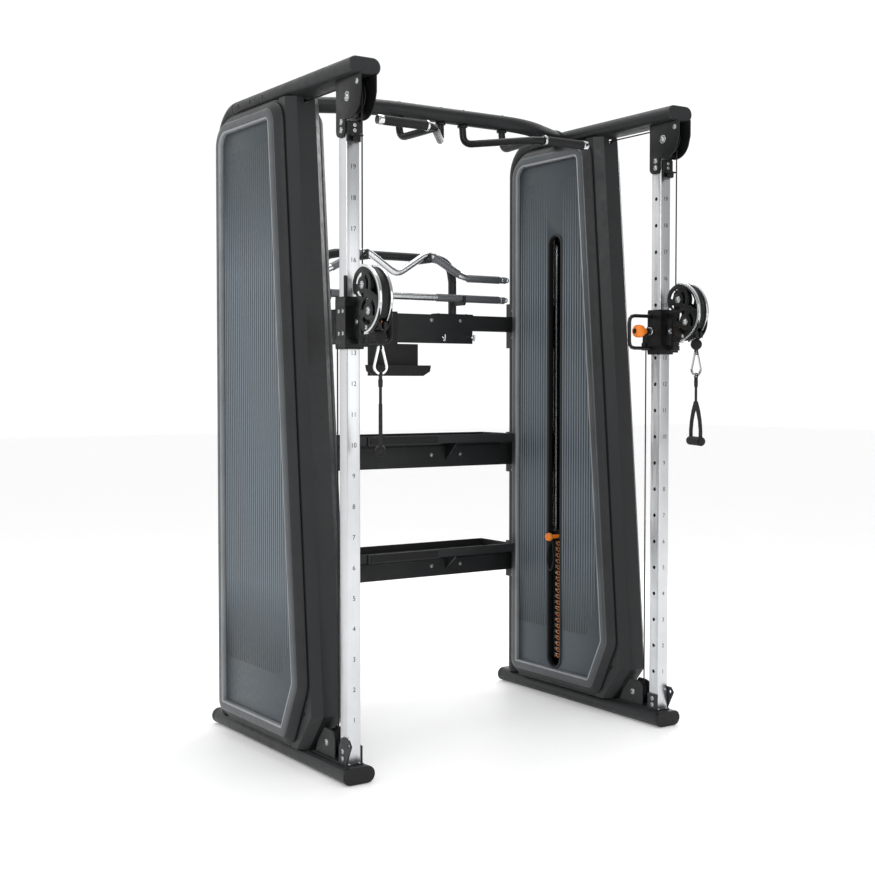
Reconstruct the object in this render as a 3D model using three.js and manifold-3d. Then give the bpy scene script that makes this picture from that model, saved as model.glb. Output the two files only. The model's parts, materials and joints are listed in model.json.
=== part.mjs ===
// A dual-column functional trainer: two weight-stack towers, each with a chrome column that a
// pulley carriage slides on, joined by a pull-up crossmember and a storage rack.
// Millimetres, +Z up, user side towards -Y. Each side is drawn as the right-hand one, with x
// measured from the column's centre line, and the left-hand one is its mirror image.
import * as THREE from 'three';
import { mergeVertices } from 'three/addons/utils/BufferGeometryUtils.js';
import Module from 'manifold-3d';

const wasm = await Module();
wasm.setup();

// ---- driving dimensions ----
const columnX = 683;              // column centre line to the machine's centre plane
const columnWidth = 50;           // square chrome tube
const columnWall = 3;
const holeCount = 19;
const holePitch = 100;
const firstHoleZ = 206;
const holeRadius = 7;
const columnTopZ = 2160;

const ovalWidth = 118;            // flat oval frame tube
const ovalHeight = 54;
const padHeight = 4;
const footFrontY = -54;
const footRearY = 959;
const footTopZ = padHeight + ovalHeight;
const footPadY = [0, 300, 570, 880];

const beamBottomZ = 2286;
const beamTopZ = beamBottomZ + ovalHeight + 2;
const beamMiddleZ = (beamBottomZ + beamTopZ) / 2;
const beamFrontY = -102;
const beamSeamY = 751;
const cornerRadius = 119;         // centre-line bend from the beam into the rear upright
const uprightY = beamSeamY + cornerRadius;

const towerHalf = 100;            // column centre line to a panel's rim face
const panelReach = 31;            // rim face back to the panel's open edge
const panelFlare = 27;            // how far the side wall spreads outside the rim
const rimWidth = 28;
const insertDepth = 17;
const sheet = 3;                  // cover thickness
const towerLean = 0.083;          // forward lean of the tower's front edge, mm per mm
const towerTopFrontY = 293;       // front of the spine cover at its top
const spineTopZ = 2285;
const spineKneeZ = 190;
const spineFootY = 222;
const spineHalf = 65;
const spineFlat = 35;
const spineBevel = 30;
const spineDepth = 75;

const stackY = 533;               // middle of the weight stack and of the selector slot
const slotHalf = 37;
const slotBottomZ = 140;
const slotTopZ = 1912;
const plateCount = 20;
const platePitch = 24.5;
const plateGap = 2;
const stackBottomZ = 172;
const stackTopZ = stackBottomZ + plateCount * platePitch - plateGap;
const stackHalfX = 52;
const stackHalfY = 150;
const guideOffset = 97;
const guideRadius = 12.5;
const guideTopZ = 2238;

const cableRadius = 2.6;
const cableFrontY = -82;          // cable in front of the column, and the swivel head's axis
const cableRearY = 80;            // cable behind the column
const topPulley = { y: -38, z: 2225, groove: 44, outer: 52 };
const basePulley = { y: 118, z: 106, groove: 38, outer: 43 };
const towerPulley = { y: stackY - 38, z: 2231, groove: 38, outer: 42 };
const headPulleyGroove = 36;
const headPulleyOuter = 44;
const upperHeadPulley = { y: cableFrontY - headPulleyGroove, z: 1620 };
const lowerHeadPulley = { y: -156, z: 1536 };
const axleRadius = 5;
const runningGap = 0.4;
const touchGap = 0.3;

const restZ = firstHoleZ + 13 * holePitch;   // the carriage rests at hole 14
const sleeveBottomZ = restZ - 80;
const sleeveTopZ = restZ + 75;
const sleeveHalf = 45;
const sleeveFrontY = -50;
const sleeveRearY = 36;
const hubBottomZ = 1452;
const hubTopZ = 1554;
const plateOuter = 24;            // outer faces of the swivel head's cheek plates
const plateInner = 20;
const guardCentre = { y: -118, z: 1573 };

const ballY = lowerHeadPulley.y - headPulleyGroove;
const ballZ = 1453;
const ballRadius = 20.5;
const eyeZ = 1424;
const hookBottomZ = 1338;
const gripZ = 1096;
const gripHalf = 52;
const gripTurn = { left: 31, right: 25 };     // degrees that each hanging handle is turned by

const crossbarZ = 2311;
const crossbarRadius = 29;
const crossbarY = 412;
const crossbarBendX = 350;
const crossbarEndY = 556;
const pullUpRodRadius = 13.5;
const pullUpGripRadius = 16.5;

const rackBeamFrontY = 850;
const rackBeamRearY = 890;
const rackHalf = columnX - ovalWidth / 2 - 1;
const barY = 800;
const barRadius = 14;
const curlPeakX = 149;
const curlPeakZ = 1835;
const straightBarZ = 1661;
const shelfFrontY = 748;
const shelfRearY = 985;
const shelfHalf = columnX - towerHalf - 31;

// ---- materials ----
function paint(color, roughness, metalness) {
  return new THREE.MeshStandardMaterial({ color, roughness, metalness });
}
const charcoal = paint(0x46484a, 0.5, 0.3);
const darkCover = paint(0x2d2e2f, 0.45, 0.1);
const panelGrey = paint(0x6d7073, 0.4, 0.5);
const chrome = paint(0xd8dadc, 0.15, 1);
const castIron = paint(0x2a2b2c, 0.6, 0.4);
const rubber = paint(0x1c1c1d, 0.85, 0);
const plastic = paint(0x232426, 0.5, 0);
const orange = paint(0xf07f1e, 0.4, 0);
const cableBlack = paint(0x161617, 0.4, 0);
const satinBlack = paint(0x202122, 0.4, 0.5);

// ---- solid helpers ----
function toManifold(geometry) {
  const bare = geometry.clone();
  bare.deleteAttribute('normal');
  bare.deleteAttribute('uv');
  const merged = mergeVertices(bare, 1e-4);
  return new wasm.Manifold(new wasm.Mesh({
    numProp: 3,
    vertProperties: new Float32Array(merged.attributes.position.array),
    triVerts: new Uint32Array(merged.index.array),
  }));
}

function toGeometry(manifold) {
  const mesh = manifold.getMesh();
  const geometry = new THREE.BufferGeometry();
  geometry.setAttribute('position', new THREE.BufferAttribute(mesh.vertProperties, 3));
  geometry.setIndex(new THREE.BufferAttribute(mesh.triVerts, 1));
  geometry.computeVertexNormals();
  return geometry;
}

function join(...pieces) {
  return toGeometry(pieces.map(toManifold).reduce((whole, piece) => whole.add(piece)));
}

function cut(body, ...tools) {
  return toGeometry(tools.map(toManifold).reduce((whole, tool) => whole.subtract(tool), toManifold(body)));
}

function box([x0, y0, z0], [x1, y1, z1]) {
  const geometry = new THREE.BoxGeometry(x1 - x0, y1 - y0, z1 - z0);
  return geometry.translate((x0 + x1) / 2, (y0 + y1) / 2, (z0 + z1) / 2);
}

function rod(radius, from, to, sides = 12, endRadius = radius) {
  const start = new THREE.Vector3(...from);
  const span = new THREE.Vector3(...to).sub(start);
  const geometry = new THREE.CylinderGeometry(endRadius, radius, span.length(), sides);
  geometry.translate(0, span.length() / 2, 0);
  const turn = new THREE.Quaternion().setFromUnitVectors(new THREE.Vector3(0, 1, 0), span.normalize());
  return geometry.applyQuaternion(turn).translate(...from);
}

// A flat shape drawn in (y, z), thickened along x.
function plateAcrossX(shape, x0, x1, curveSegments = 5) {
  const geometry = new THREE.ExtrudeGeometry(shape, { depth: x1 - x0, bevelEnabled: false, curveSegments });
  const axes = new THREE.Matrix4().makeBasis(
    new THREE.Vector3(0, 1, 0), new THREE.Vector3(0, 0, 1), new THREE.Vector3(1, 0, 0));
  return geometry.applyMatrix4(axes).translate(x0, 0, 0);
}

// A flat shape drawn in (x, y), thickened upwards.
function plateUp(shape, z0, z1, curveSegments = 5) {
  const geometry = new THREE.ExtrudeGeometry(shape, { depth: z1 - z0, bevelEnabled: false, curveSegments });
  return geometry.translate(0, 0, z0);
}

function polygon(points) {
  return new THREE.Shape(points.map(([u, v]) => new THREE.Vector2(u, v)));
}

function roundShape(u, v, radius) {
  return new THREE.Shape().absarc(u, v, radius, 0, 2 * Math.PI, false);
}

// A round bar along a polyline with rounded corners. It has rings only where it bends.
function tube(points, radius, bend, sides = 10, bendSteps = 3) {
  const corners = points.map((point) => new THREE.Vector3(...point));
  const last = corners.length - 1;
  const stations = [{ at: corners[0], along: corners[1].clone().sub(corners[0]).normalize() }];
  for (let i = 1; i < last; i += 1) {
    const back = corners[i - 1].clone().sub(corners[i]);
    const ahead = corners[i + 1].clone().sub(corners[i]);
    const reach = Math.min(bend, back.length() / 2.05, ahead.length() / 2.05);
    const curve = new THREE.QuadraticBezierCurve3(
      corners[i].clone().add(back.setLength(reach)), corners[i], corners[i].clone().add(ahead.setLength(reach)));
    for (let s = 0; s <= bendSteps; s += 1) {
      stations.push({ at: curve.getPoint(s / bendSteps), along: curve.getTangent(s / bendSteps) });
    }
  }
  stations.push({ at: corners[last], along: corners[last].clone().sub(corners[last - 1]).normalize() });
  const spoke = new THREE.Vector3(0.31, 0.57, 0.76).cross(stations[0].along).setLength(radius);
  const rings = stations.map(({ at, along }, i) => {
    const before = i ? stations[i - 1].along : along;
    spoke.applyQuaternion(new THREE.Quaternion().setFromUnitVectors(before, along));
    return Array.from({ length: sides }, (_, k) => spoke.clone()
      .applyAxisAngle(along, (2 * Math.PI * k) / sides).add(at));
  });
  return loft(rings, (_, k) => new THREE.Vector2(
    Math.cos((2 * Math.PI * k) / sides), Math.sin((2 * Math.PI * k) / sides)));
}

// A closed skin through rings of equal point count, with flat ends. flatten gives a ring's 2-D view.
function loft(rings, flatten) {
  const count = rings[0].length;
  const corners = rings.flat();
  const index = [];
  for (let r = 0; r < rings.length - 1; r += 1) {
    for (let i = 0; i < count; i += 1) {
      const a = r * count + i;
      const b = r * count + (i + 1) % count;
      index.push(a, b, b + count, a, b + count, a + count);
    }
  }
  const last = (rings.length - 1) * count;
  const cap = (ring) => THREE.ShapeUtils.triangulateShape(ring.map(flatten), []);
  const aroundCcw = !THREE.ShapeUtils.isClockWise(rings[0].map(flatten));
  const capIndex = [];
  cap(rings[0]).forEach(([a, b, c]) => capIndex.push(aroundCcw ? [c, b, a] : [a, b, c]));
  cap(rings[rings.length - 1]).forEach(([a, b, c]) => {
    capIndex.push(aroundCcw ? [a + last, b + last, c + last] : [c + last, b + last, a + last]);
  });
  const geometry = new THREE.BufferGeometry().setFromPoints(corners);
  geometry.setIndex(index.concat(consistentCaps(capIndex, index)));
  return outwards(geometry);
}

// Turns the cap triangles so that they agree with the side walls' direction of travel.
function consistentCaps(caps, walls) {
  const directed = new Set();
  for (let i = 0; i < walls.length; i += 3) {
    directed.add(`${walls[i]},${walls[i + 1]}`);
    directed.add(`${walls[i + 1]},${walls[i + 2]}`);
    directed.add(`${walls[i + 2]},${walls[i]}`);
  }
  const half = caps.length / 2;
  return [caps.slice(0, half), caps.slice(half)].flatMap((cap) => {
    const edgesOf = ([a, b, c]) => [`${a},${b}`, `${b},${c}`, `${c},${a}`];
    const clashes = cap.some((triangle) => edgesOf(triangle).some((edge) => directed.has(edge)));
    return cap.flatMap(([a, b, c]) => (clashes ? [c, b, a] : [a, b, c]));
  });
}

function signedVolume(geometry) {
  const position = geometry.attributes.position;
  const [a, b, c] = [new THREE.Vector3(), new THREE.Vector3(), new THREE.Vector3()];
  let volume = 0;
  for (let i = 0; i < geometry.index.count; i += 3) {
    a.fromBufferAttribute(position, geometry.index.getX(i));
    b.fromBufferAttribute(position, geometry.index.getX(i + 1));
    c.fromBufferAttribute(position, geometry.index.getX(i + 2));
    volume += a.dot(b.cross(c)) / 6;
  }
  return volume;
}

function flipped(geometry) {
  const turned = geometry.clone();
  const order = Array.from(turned.index.array);
  for (let i = 0; i < order.length; i += 3) [order[i], order[i + 2]] = [order[i + 2], order[i]];
  turned.setIndex(order);
  return turned;
}

function outwards(geometry) {
  const turned = signedVolume(geometry) < 0 ? flipped(geometry) : geometry;
  turned.computeVertexNormals();
  return turned;
}

function mirroredInX(geometry) {
  const indexed = geometry.index ? geometry : mergeVertices(geometry);
  const image = flipped(indexed);
  image.applyMatrix4(new THREE.Matrix4().makeScale(-1, 1, 1));
  image.computeVertexNormals();
  return image;
}

// ---- frame ----
// The flat oval section, drawn around its own centre.
function ovalShape(grow = 0) {
  const radius = ovalHeight / 2 + 1 + grow;
  const flat = ovalWidth / 2 - ovalHeight / 2 - 1;
  return new THREE.Shape()
    .absarc(flat, 0, radius, -Math.PI / 2, Math.PI / 2, false)
    .absarc(-flat, 0, radius, Math.PI / 2, 3 * Math.PI / 2, false);
}

// The oval tube run straight along y.
function ovalAlongY(y0, y1, middleZ, grow = 0) {
  const geometry = new THREE.ExtrudeGeometry(ovalShape(grow), {
    depth: y1 - y0, bevelEnabled: false, curveSegments: 4,
  });
  return geometry.rotateX(Math.PI / 2).translate(0, y1, middleZ);
}

// The foot: an oval tube on rubber pads, with the welded column socket and pulley cheeks.
function foot() {
  const centreZ = footTopZ - ovalHeight / 2 - 1;
  const tubeBody = ovalAlongY(footFrontY, footRearY, centreZ);
  const pads = footPadY.map((y) => box([-28, y - 48, 0], [28, y + 48, padHeight + 1]));
  const basePlate = box([-31, -30, footTopZ - 2], [31, 205, footTopZ + 4]);
  const cheekShape = new THREE.Shape()
    .moveTo(62, footTopZ + 2).lineTo(196, footTopZ + 2).lineTo(172, 106).lineTo(132, 154)
    .lineTo(98, 154).absarc(98, 118, 36, Math.PI / 2, Math.PI, false);
  const gussetShape = polygon([
    [25, footTopZ + 2], [25, 112], [8, 146], [-41, 146], [-56, 128], [-21, footTopZ + 2]]);
  const eye = rod(6, [25, -38, 128], [32, -38, 128]);
  const socketPlate = box([-30.5, -26, footTopZ + 2], [-26, 26, 118]);
  const gusset = cut(plateAcrossX(gussetShape, 26, 30.5), eye);
  const axle = rod(axleRadius, [-28, basePulley.y, basePulley.z], [28, basePulley.y, basePulley.z]);
  return join(tubeBody, ...pads, basePlate, plateAcrossX(cheekShape, 20, 25),
    plateAcrossX(cheekShape, -25, -20), gusset, socketPlate, axle);
}

// The side frame: one oval tube, forward as the top beam and bent down as the rear upright. Two
// plates under its front carry the top pulley and clamp the column's head.
function sideFrame() {
  const section = ovalShape().getPoints(4).slice(0, -1);
  const bendSteps = 6;
  const stations = [{ y: beamFrontY, z: beamMiddleZ, turn: 0 }];
  for (let i = 0; i <= bendSteps; i += 1) {
    const turn = (Math.PI / 2) * (i / bendSteps);
    stations.push({
      y: beamSeamY + cornerRadius * Math.sin(turn),
      z: beamMiddleZ - cornerRadius * (1 - Math.cos(turn)),
      turn,
    });
  }
  stations.push({ y: uprightY, z: footTopZ + touchGap, turn: Math.PI / 2 });
  const rings = stations.map(({ y, z, turn }) => section.map((point) => new THREE.Vector3(
    point.x, y + point.y * Math.sin(turn), z + point.y * Math.cos(turn))));
  const bracketShape = new THREE.Shape()
    .moveTo(33, beamBottomZ + 6).lineTo(33, 2122)
    .absarc(12, 2122, 21, 0, -Math.PI / 2, true)
    .lineTo(-6, 2101).absarc(-6, 2122, 21, -Math.PI / 2, -Math.PI, true)
    .lineTo(-27, 2152).lineTo(-45, 2158)
    .quadraticCurveTo(-110, 2168, -125, 2224).lineTo(-125, beamBottomZ + 6);
  const pin = rod(axleRadius + 1, [-34, topPulley.y, topPulley.z], [34, topPulley.y, topPulley.z]);
  const spacer = rod(4, [-32, -102, 2262], [32, -102, 2262], 8);
  return join(loft(rings, (point) => new THREE.Vector2(point.x, point.z + point.y)),
    plateAcrossX(bracketShape, 26, 30.5), plateAcrossX(bracketShape, -30.5, -26), pin, spacer);
}

// The column: a square chrome tube, drilled on its inner face.
function column() {
  const bottom = footTopZ + 4 + touchGap;
  const half = columnWidth / 2;
  const edge = 4;
  const outer = new THREE.Shape()
    .absarc(half - edge, -half + edge, edge, -Math.PI / 2, 0, false)
    .absarc(half - edge, half - edge, edge, 0, Math.PI / 2, false)
    .absarc(-half + edge, half - edge, edge, Math.PI / 2, Math.PI, false)
    .absarc(-half + edge, -half + edge, edge, Math.PI, 3 * Math.PI / 2, false);
  const bore = half - columnWall;
  const holes = Array.from({ length: holeCount }, (_, i) => {
    const z = firstHoleZ + i * holePitch;
    return rod(holeRadius, [-half - 2, 0, z], [-bore + 2, 0, z], 6);
  });
  const hollow = box([-bore, -bore, bottom - 1], [bore, bore, columnTopZ + 1]);
  return cut(plateUp(outer, bottom, columnTopZ, 3), hollow, ...holes);
}

// ---- tower covers ----
function towerFrontY(z) {
  return towerTopFrontY - towerLean * (spineTopZ - z);
}

// A panel's outline in (y, z), spread outwards by grow, with rounded corners.
function panelOutline(grow) {
  const bottomZ = 98;
  const topZ = 2250;
  const kneeZ = 288;
  const rearY = 806;
  const rimSetback = 66;
  const corners = [
    { y: rearY, z: bottomZ, radius: 30 },
    { y: rearY, z: topZ, radius: 78 },
    { y: towerFrontY(topZ) + rimSetback, z: topZ, radius: 52 },
    { y: towerFrontY(kneeZ) + rimSetback, z: kneeZ, radius: 70 },
    { y: 285, z: bottomZ, radius: 30 },
  ].map((corner) => ({ ...corner, at: new THREE.Vector2(corner.y, corner.z) }));
  const edges = corners.map((corner, i) => {
    const next = corners[(i + 1) % corners.length];
    const along = next.at.clone().sub(corner.at).normalize();
    return { at: corner.at.clone().addScaledVector(new THREE.Vector2(along.y, -along.x), grow), along };
  });
  const points = [];
  corners.forEach((corner, i) => {
    const before = edges[(i + edges.length - 1) % edges.length];
    const after = edges[i];
    const between = after.at.clone().sub(before.at);
    const run = between.cross(after.along) / before.along.cross(after.along);
    const tip = before.at.clone().addScaledVector(before.along, run);
    const radius = Math.max(corner.radius + grow, 6);
    const half = Math.acos(THREE.MathUtils.clamp(before.along.dot(after.along), -1, 1)) / 2;
    const centre = tip.clone().addScaledVector(
      after.along.clone().sub(before.along).normalize(), radius / Math.cos(half));
    const from = Math.atan2(-before.along.x, before.along.y);
    const steps = 3;
    for (let s = 0; s <= steps; s += 1) {
      const angle = from + 2 * half * (s / steps);
      points.push(new THREE.Vector2(centre.x + radius * Math.cos(angle), centre.y + radius * Math.sin(angle)));
    }
  });
  return points;
}

// A tower panel as a thin tray: flared wall, flat rim and a recessed field. It faces +x.
function panelTray() {
  const face = towerHalf;
  const open = face - panelReach;
  const profile = [
    [-rimWidth - 4, face - insertDepth],
    [-rimWidth, face],
    [0, face],
    [panelFlare, open + 4],
    [panelFlare, open],
    [panelFlare - sheet, open],
    [panelFlare - sheet, open + 3],
    [-1, face - sheet],
    [-rimWidth + 1.5, face - sheet],
    [-rimWidth - 2, face - insertDepth - sheet],
  ];
  const rings = profile.map(([grow, x]) => panelOutline(grow).map(
    (point) => new THREE.Vector3(x, point.x, point.y)));
  return loft(rings, (point) => new THREE.Vector2(point.y, point.z));
}

function slotShape(half, grow = 0) {
  const radius = half + grow;
  return new THREE.Shape()
    .absarc(stackY, slotTopZ - half, radius, 0, Math.PI, false)
    .absarc(stackY, slotBottomZ + half, radius, Math.PI, 2 * Math.PI, false);
}

// The inner panel: the same tray facing the middle, with the bezelled slot for the selector pin.
function innerPanel() {
  const floor = towerHalf - insertDepth;
  const bezel = plateAcrossX(slotShape(slotHalf, 9), floor - 1, floor + 4, 8);
  const slot = plateAcrossX(slotShape(slotHalf), floor - 12, floor + 12, 8);
  return mirroredInX(cut(join(panelTray(), bezel), slot));
}

// The spine cover between the two panels' front edges: a bevelled channel with a cable hole.
function spineCover() {
  const outline = [
    [-spineHalf, spineDepth], [-spineHalf, spineBevel], [-spineFlat, 0], [spineFlat, 0],
    [spineHalf, spineBevel], [spineHalf, spineDepth]];
  const inside = [
    [spineHalf - sheet, spineDepth], [spineHalf - sheet, spineBevel + 1.2], [spineFlat - 1.2, sheet],
    [-spineFlat + 1.2, sheet], [-spineHalf + sheet, spineBevel + 1.2], [-spineHalf + sheet, spineDepth]];
  const section = outline.concat(inside);
  const stations = [
    [spineTopZ, towerTopFrontY],
    [spineKneeZ, towerFrontY(spineKneeZ)],
    [footTopZ + touchGap, spineFootY]];
  const rings = stations.map(
    ([z, y]) => section.map((point) => new THREE.Vector3(point[0], y + point[1], z)));
  const channel = loft(rings, (point) => new THREE.Vector2(point.x, point.y));
  const cableZ = topPulley.z + topPulley.groove;
  return cut(channel, rod(9, [0, 250, cableZ], [0, 320, cableZ], 12));
}

// ---- pulleys and cables ----
// A grooved pulley on an axle along x.
function pulley({ y, z }, groove, outer, half, bore = axleRadius + runningGap) {
  const profile = [
    [bore, -half], [outer, -half], [outer, -half + 3], [groove - cableRadius, -cableRadius],
    [groove - cableRadius, cableRadius], [outer, half - 3], [outer, half], [bore, half], [bore, -half],
  ].map(([radius, along]) => new THREE.Vector2(radius, along));
  const wheel = new THREE.LatheGeometry(profile, 14);
  return wheel.rotateZ(-Math.PI / 2).translate(0, y, z);
}

function frontCable() {
  return rod(cableRadius, [0, cableFrontY, upperHeadPulley.z], [0, cableFrontY, topPulley.z], 8);
}

function rearCable() {
  return rod(cableRadius, [0, cableRearY, basePulley.z], [0, cableRearY, sleeveBottomZ + 10], 8);
}

// From the stack carrier up over the tower pulley, out through the spine and over the top pulley.
function feedCable() {
  const topZ = topPulley.z + topPulley.groove;
  const corner = 34;
  return tube([
    [0, stackY, 790], [0, stackY, topZ], [0, cableFrontY, topZ], [0, cableFrontY, topPulley.z + touchGap]],
  cableRadius, corner, 8);
}

// ---- weight stack ----
function plateNotches() {
  return Array.from({ length: plateCount - 1 }, (_, i) => {
    const z = stackBottomZ + (i + 1) * platePitch - plateGap;
    const ring = box([-stackHalfX - 5, stackY - stackHalfY - 5, z],
      [stackHalfX + 5, stackY + stackHalfY + 5, z + plateGap]);
    return cut(ring, box([-stackHalfX + 6, stackY - stackHalfY + 6, z - 1],
      [stackHalfX - 6, stackY + stackHalfY - 6, z + plateGap + 1]));
  });
}

function verticalBore(radius, y, z0, z1) {
  return rod(radius, [0, y, z0], [0, y, z1], 14);
}

function weightStack() {
  const block = box(
    [-stackHalfX, stackY - stackHalfY, stackBottomZ], [stackHalfX, stackY + stackHalfY, stackTopZ]);
  const bores = [-guideOffset, guideOffset].map(
    (offset) => verticalBore(guideRadius + 2, stackY + offset, stackBottomZ - 1, stackTopZ + 1));
  return cut(block, verticalBore(15, stackY, stackBottomZ - 1, stackTopZ + 1), ...bores, ...plateNotches());
}

// The stack carrier: head plate, selector rod and cable yoke. The selector pin crosses it.
const pinZ = stackTopZ + 19;
function stackCarrier() {
  const head = box([-stackHalfX, stackY - stackHalfY, stackTopZ + touchGap],
    [stackHalfX, stackY + stackHalfY, stackTopZ + 36]);
  const yoke = box([-20, stackY - 34, stackTopZ + 35], [20, stackY + 34, 768]);
  const stem = rod(9, [0, stackY, 765], [0, stackY, 789.7], 12);
  const selectorRod = rod(12, [0, stackY, stackBottomZ + 10], [0, stackY, stackTopZ + 5], 14);
  const bores = [-guideOffset, guideOffset].map(
    (offset) => verticalBore(guideRadius + 1, stackY + offset, stackTopZ - 1, stackTopZ + 40));
  const pinBore = rod(5.6, [-stackHalfX - 2, stackY, pinZ], [18, stackY, pinZ]);
  return cut(join(head, yoke, stem, selectorRod), ...bores, pinBore);
}

function selectorPin() {
  const ball = new THREE.SphereGeometry(17, 14, 8).rotateZ(Math.PI / 2).translate(-113, stackY, pinZ);
  const shank = rod(8, [-98, stackY, pinZ], [-64, stackY, pinZ]);
  const pin = rod(5, [-66, stackY, pinZ], [12, stackY, pinZ]);
  return join(ball, shank, pin);
}

// Two guide rods between the stack base and the bracket that carries the tower pulley.
function guideRods() {
  const baseTop = stackBottomZ - touchGap;
  const base = box([-50, stackY - 140, footTopZ + touchGap], [50, stackY + 140, 96]);
  const cheeks = [[-22, -18], [18, 22]].map(([x0, x1]) => box(
    [x0, stackY - guideOffset - 16, 2190], [x1, stackY + guideOffset + 16, 2256]));
  const perRod = [-guideOffset, guideOffset].flatMap((offset) => {
    const y = stackY + offset;
    return [
      rod(guideRadius, [0, y, 90], [0, y, guideTopZ]),
      rod(26, [0, y, 95], [0, y, baseTop], 14),
      box([-19, y - 16, 2192], [19, y + 16, guideTopZ]),
    ];
  });
  const axle = rod(axleRadius, [-20, towerPulley.y, towerPulley.z], [20, towerPulley.y, towerPulley.z]);
  return join(base, ...cheeks, ...perRod, axle);
}

// ---- carriage ----
const pinBoreRadius = 6.6;
const lugNeckHalf = 7;             // narrow enough for the head to turn a quarter turn each way

function carriageSleeve() {
  const bore = columnWidth / 2 + 2;
  const section = (grow, rearY) => polygon([
    [-sleeveHalf - grow, sleeveFrontY - grow], [sleeveHalf + grow, sleeveFrontY - grow],
    [sleeveHalf + grow, 8], [33, rearY], [-33, rearY], [-sleeveHalf - grow, 8]]);
  const body = plateUp(section(0, sleeveRearY), sleeveBottomZ, sleeveTopZ);
  const bands = [[sleeveBottomZ + 8, sleeveBottomZ + 24], [sleeveTopZ - 27, sleeveTopZ - 9]].map(
    ([z0, z1]) => plateUp(section(4, sleeveRearY - 1), z0, z1));
  const lugShape = new THREE.Shape()
    .moveTo(lugNeckHalf, -46).lineTo(-lugNeckHalf, -46).lineTo(-lugNeckHalf, cableFrontY + 13)
    .absarc(0, cableFrontY, 15, THREE.MathUtils.degToRad(118), THREE.MathUtils.degToRad(422), false);
  const lugs = [[hubBottomZ - 18, hubBottomZ - 1], [hubTopZ + 1, hubTopZ + 17]].map(
    ([z0, z1]) => plateUp(lugShape, z0, z1));
  const barrel = rod(11, [-44, 0, restZ], [-76, 0, restZ]);
  const loopZ = [sleeveTopZ - 18, sleeveBottomZ + 16];
  const loop = tube([
    [-44, 0, loopZ[0]], [-157, 0, loopZ[0]], [-157, 0, loopZ[1]], [-44, 0, loopZ[1]]], 7, 26);
  const tongueShape = polygon([
    [34, 1440], [92, 1440], [92, 1500], [58, 1533], [34, 1533]]);
  const tongue = plateAcrossX(tongueShape, -7, 7);
  const cableSeat = box([-12, 70, sleeveBottomZ + 10 + touchGap], [12, 92, 1466]);
  const whole = join(body, ...bands, ...lugs, barrel, loop, tongue, cableSeat);
  return cut(whole, box([-bore, -bore, sleeveBottomZ - 1], [bore, bore, sleeveTopZ + 1]),
    rod(pinBoreRadius, [-78, 0, restZ], [-bore + 2, 0, restZ]),
    rod(6.4, [0, cableFrontY, hubBottomZ - 20], [0, cableFrontY, hubTopZ + 20]));
}

// The pull pin: a waisted knob on a plunger, drawn back until it clears the column's holes.
function pullPin() {
  const profile = [[0, -27], [14, -25.5], [22, -19], [25, -8], [24, 4], [17, 14], [11, 20], [10, 27], [0, 27]]
    .map(([radius, along]) => new THREE.Vector2(radius, along));
  const knob = new THREE.LatheGeometry(profile, 14).rotateZ(-Math.PI / 2).translate(-104, 0, restZ);
  return join(knob, rod(6, [-80, 0, restZ], [-columnWidth / 2 - 1, 0, restZ]));
}

// One cheek of the swivel head: two round lobes with curved windows, as a (y, z) shape.
function cheekPlate(x0, x1) {
  const lobes = [
    plateAcrossX(roundShape(upperHeadPulley.y, upperHeadPulley.z, 57), x0, x1, 8),
    plateAcrossX(roundShape(lowerHeadPulley.y, lowerHeadPulley.z, 62), x0, x1, 8),
    box([x0, -118, 1592], [x1, -72, 1661]),
    box([x0, -160, 1474], [x1, -98, 1548]),
    box([x0, -160, 1552], [x1, -106, 1600]),
  ];
  const window = (centre, inner, outer, from, to) => {
    const shape = new THREE.Shape().absarc(centre.y, centre.z, outer, from, to, false)
      .absarc(centre.y, centre.z, inner, to, from, true);
    return plateAcrossX(shape, x0 - 1, x1 + 1, 2);
  };
  const windows = [
    window(upperHeadPulley, 28, 39, -0.35 * Math.PI / 2, 0.72 * Math.PI / 2),
    window(upperHeadPulley, 28, 39, 1.28 * Math.PI / 2, 2.35 * Math.PI / 2),
    window(lowerHeadPulley, 30, 42, -1.2 * Math.PI / 2 + 0.5, 0.25 * Math.PI / 2),
    window(lowerHeadPulley, 30, 42, 1.75 * Math.PI / 2, 2.85 * Math.PI / 2),
  ];
  return cut(join(...lobes), ...windows);
}

// An arc band of the rope guard, from just past the top to in front of the lower pulley.
function guardBand(inner, outer, x0, x1) {
  const from = THREE.MathUtils.degToRad(88);
  const to = THREE.MathUtils.degToRad(180 + 34);
  const shape = new THREE.Shape()
    .absarc(guardCentre.y, guardCentre.z, outer, from, to, false)
    .absarc(guardCentre.y, guardCentre.z, inner, to, from, true);
  return plateAcrossX(shape, x0, x1, 4);
}

function swivelHead() {
  const axles = [upperHeadPulley, lowerHeadPulley].map(
    ({ y, z }) => rod(axleRadius, [-plateOuter - 3, y, z], [plateOuter + 3, y, z]));
  const spacer = rod(4.5, [-plateOuter - 2, -145, 1484], [plateOuter + 2, -145, 1484], 12);
  const hub = rod(14, [0, cableFrontY, hubBottomZ], [0, cableFrontY, hubTopZ], 20);
  const web = box([-plateInner - 1, -106, 1462], [plateInner + 1, -90, 1545]);
  const stubs = rod(6, [0, cableFrontY, hubBottomZ - 16], [0, cableFrontY, hubTopZ + 15], 14);
  return join(cheekPlate(plateInner, plateOuter), cheekPlate(-plateOuter, -plateInner), ...axles, spacer,
    hub, web, stubs, guardBand(99, 103, -plateOuter, plateOuter),
    guardBand(99, 116, plateInner, plateOuter), guardBand(99, 116, -plateOuter, -plateInner));
}

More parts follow.
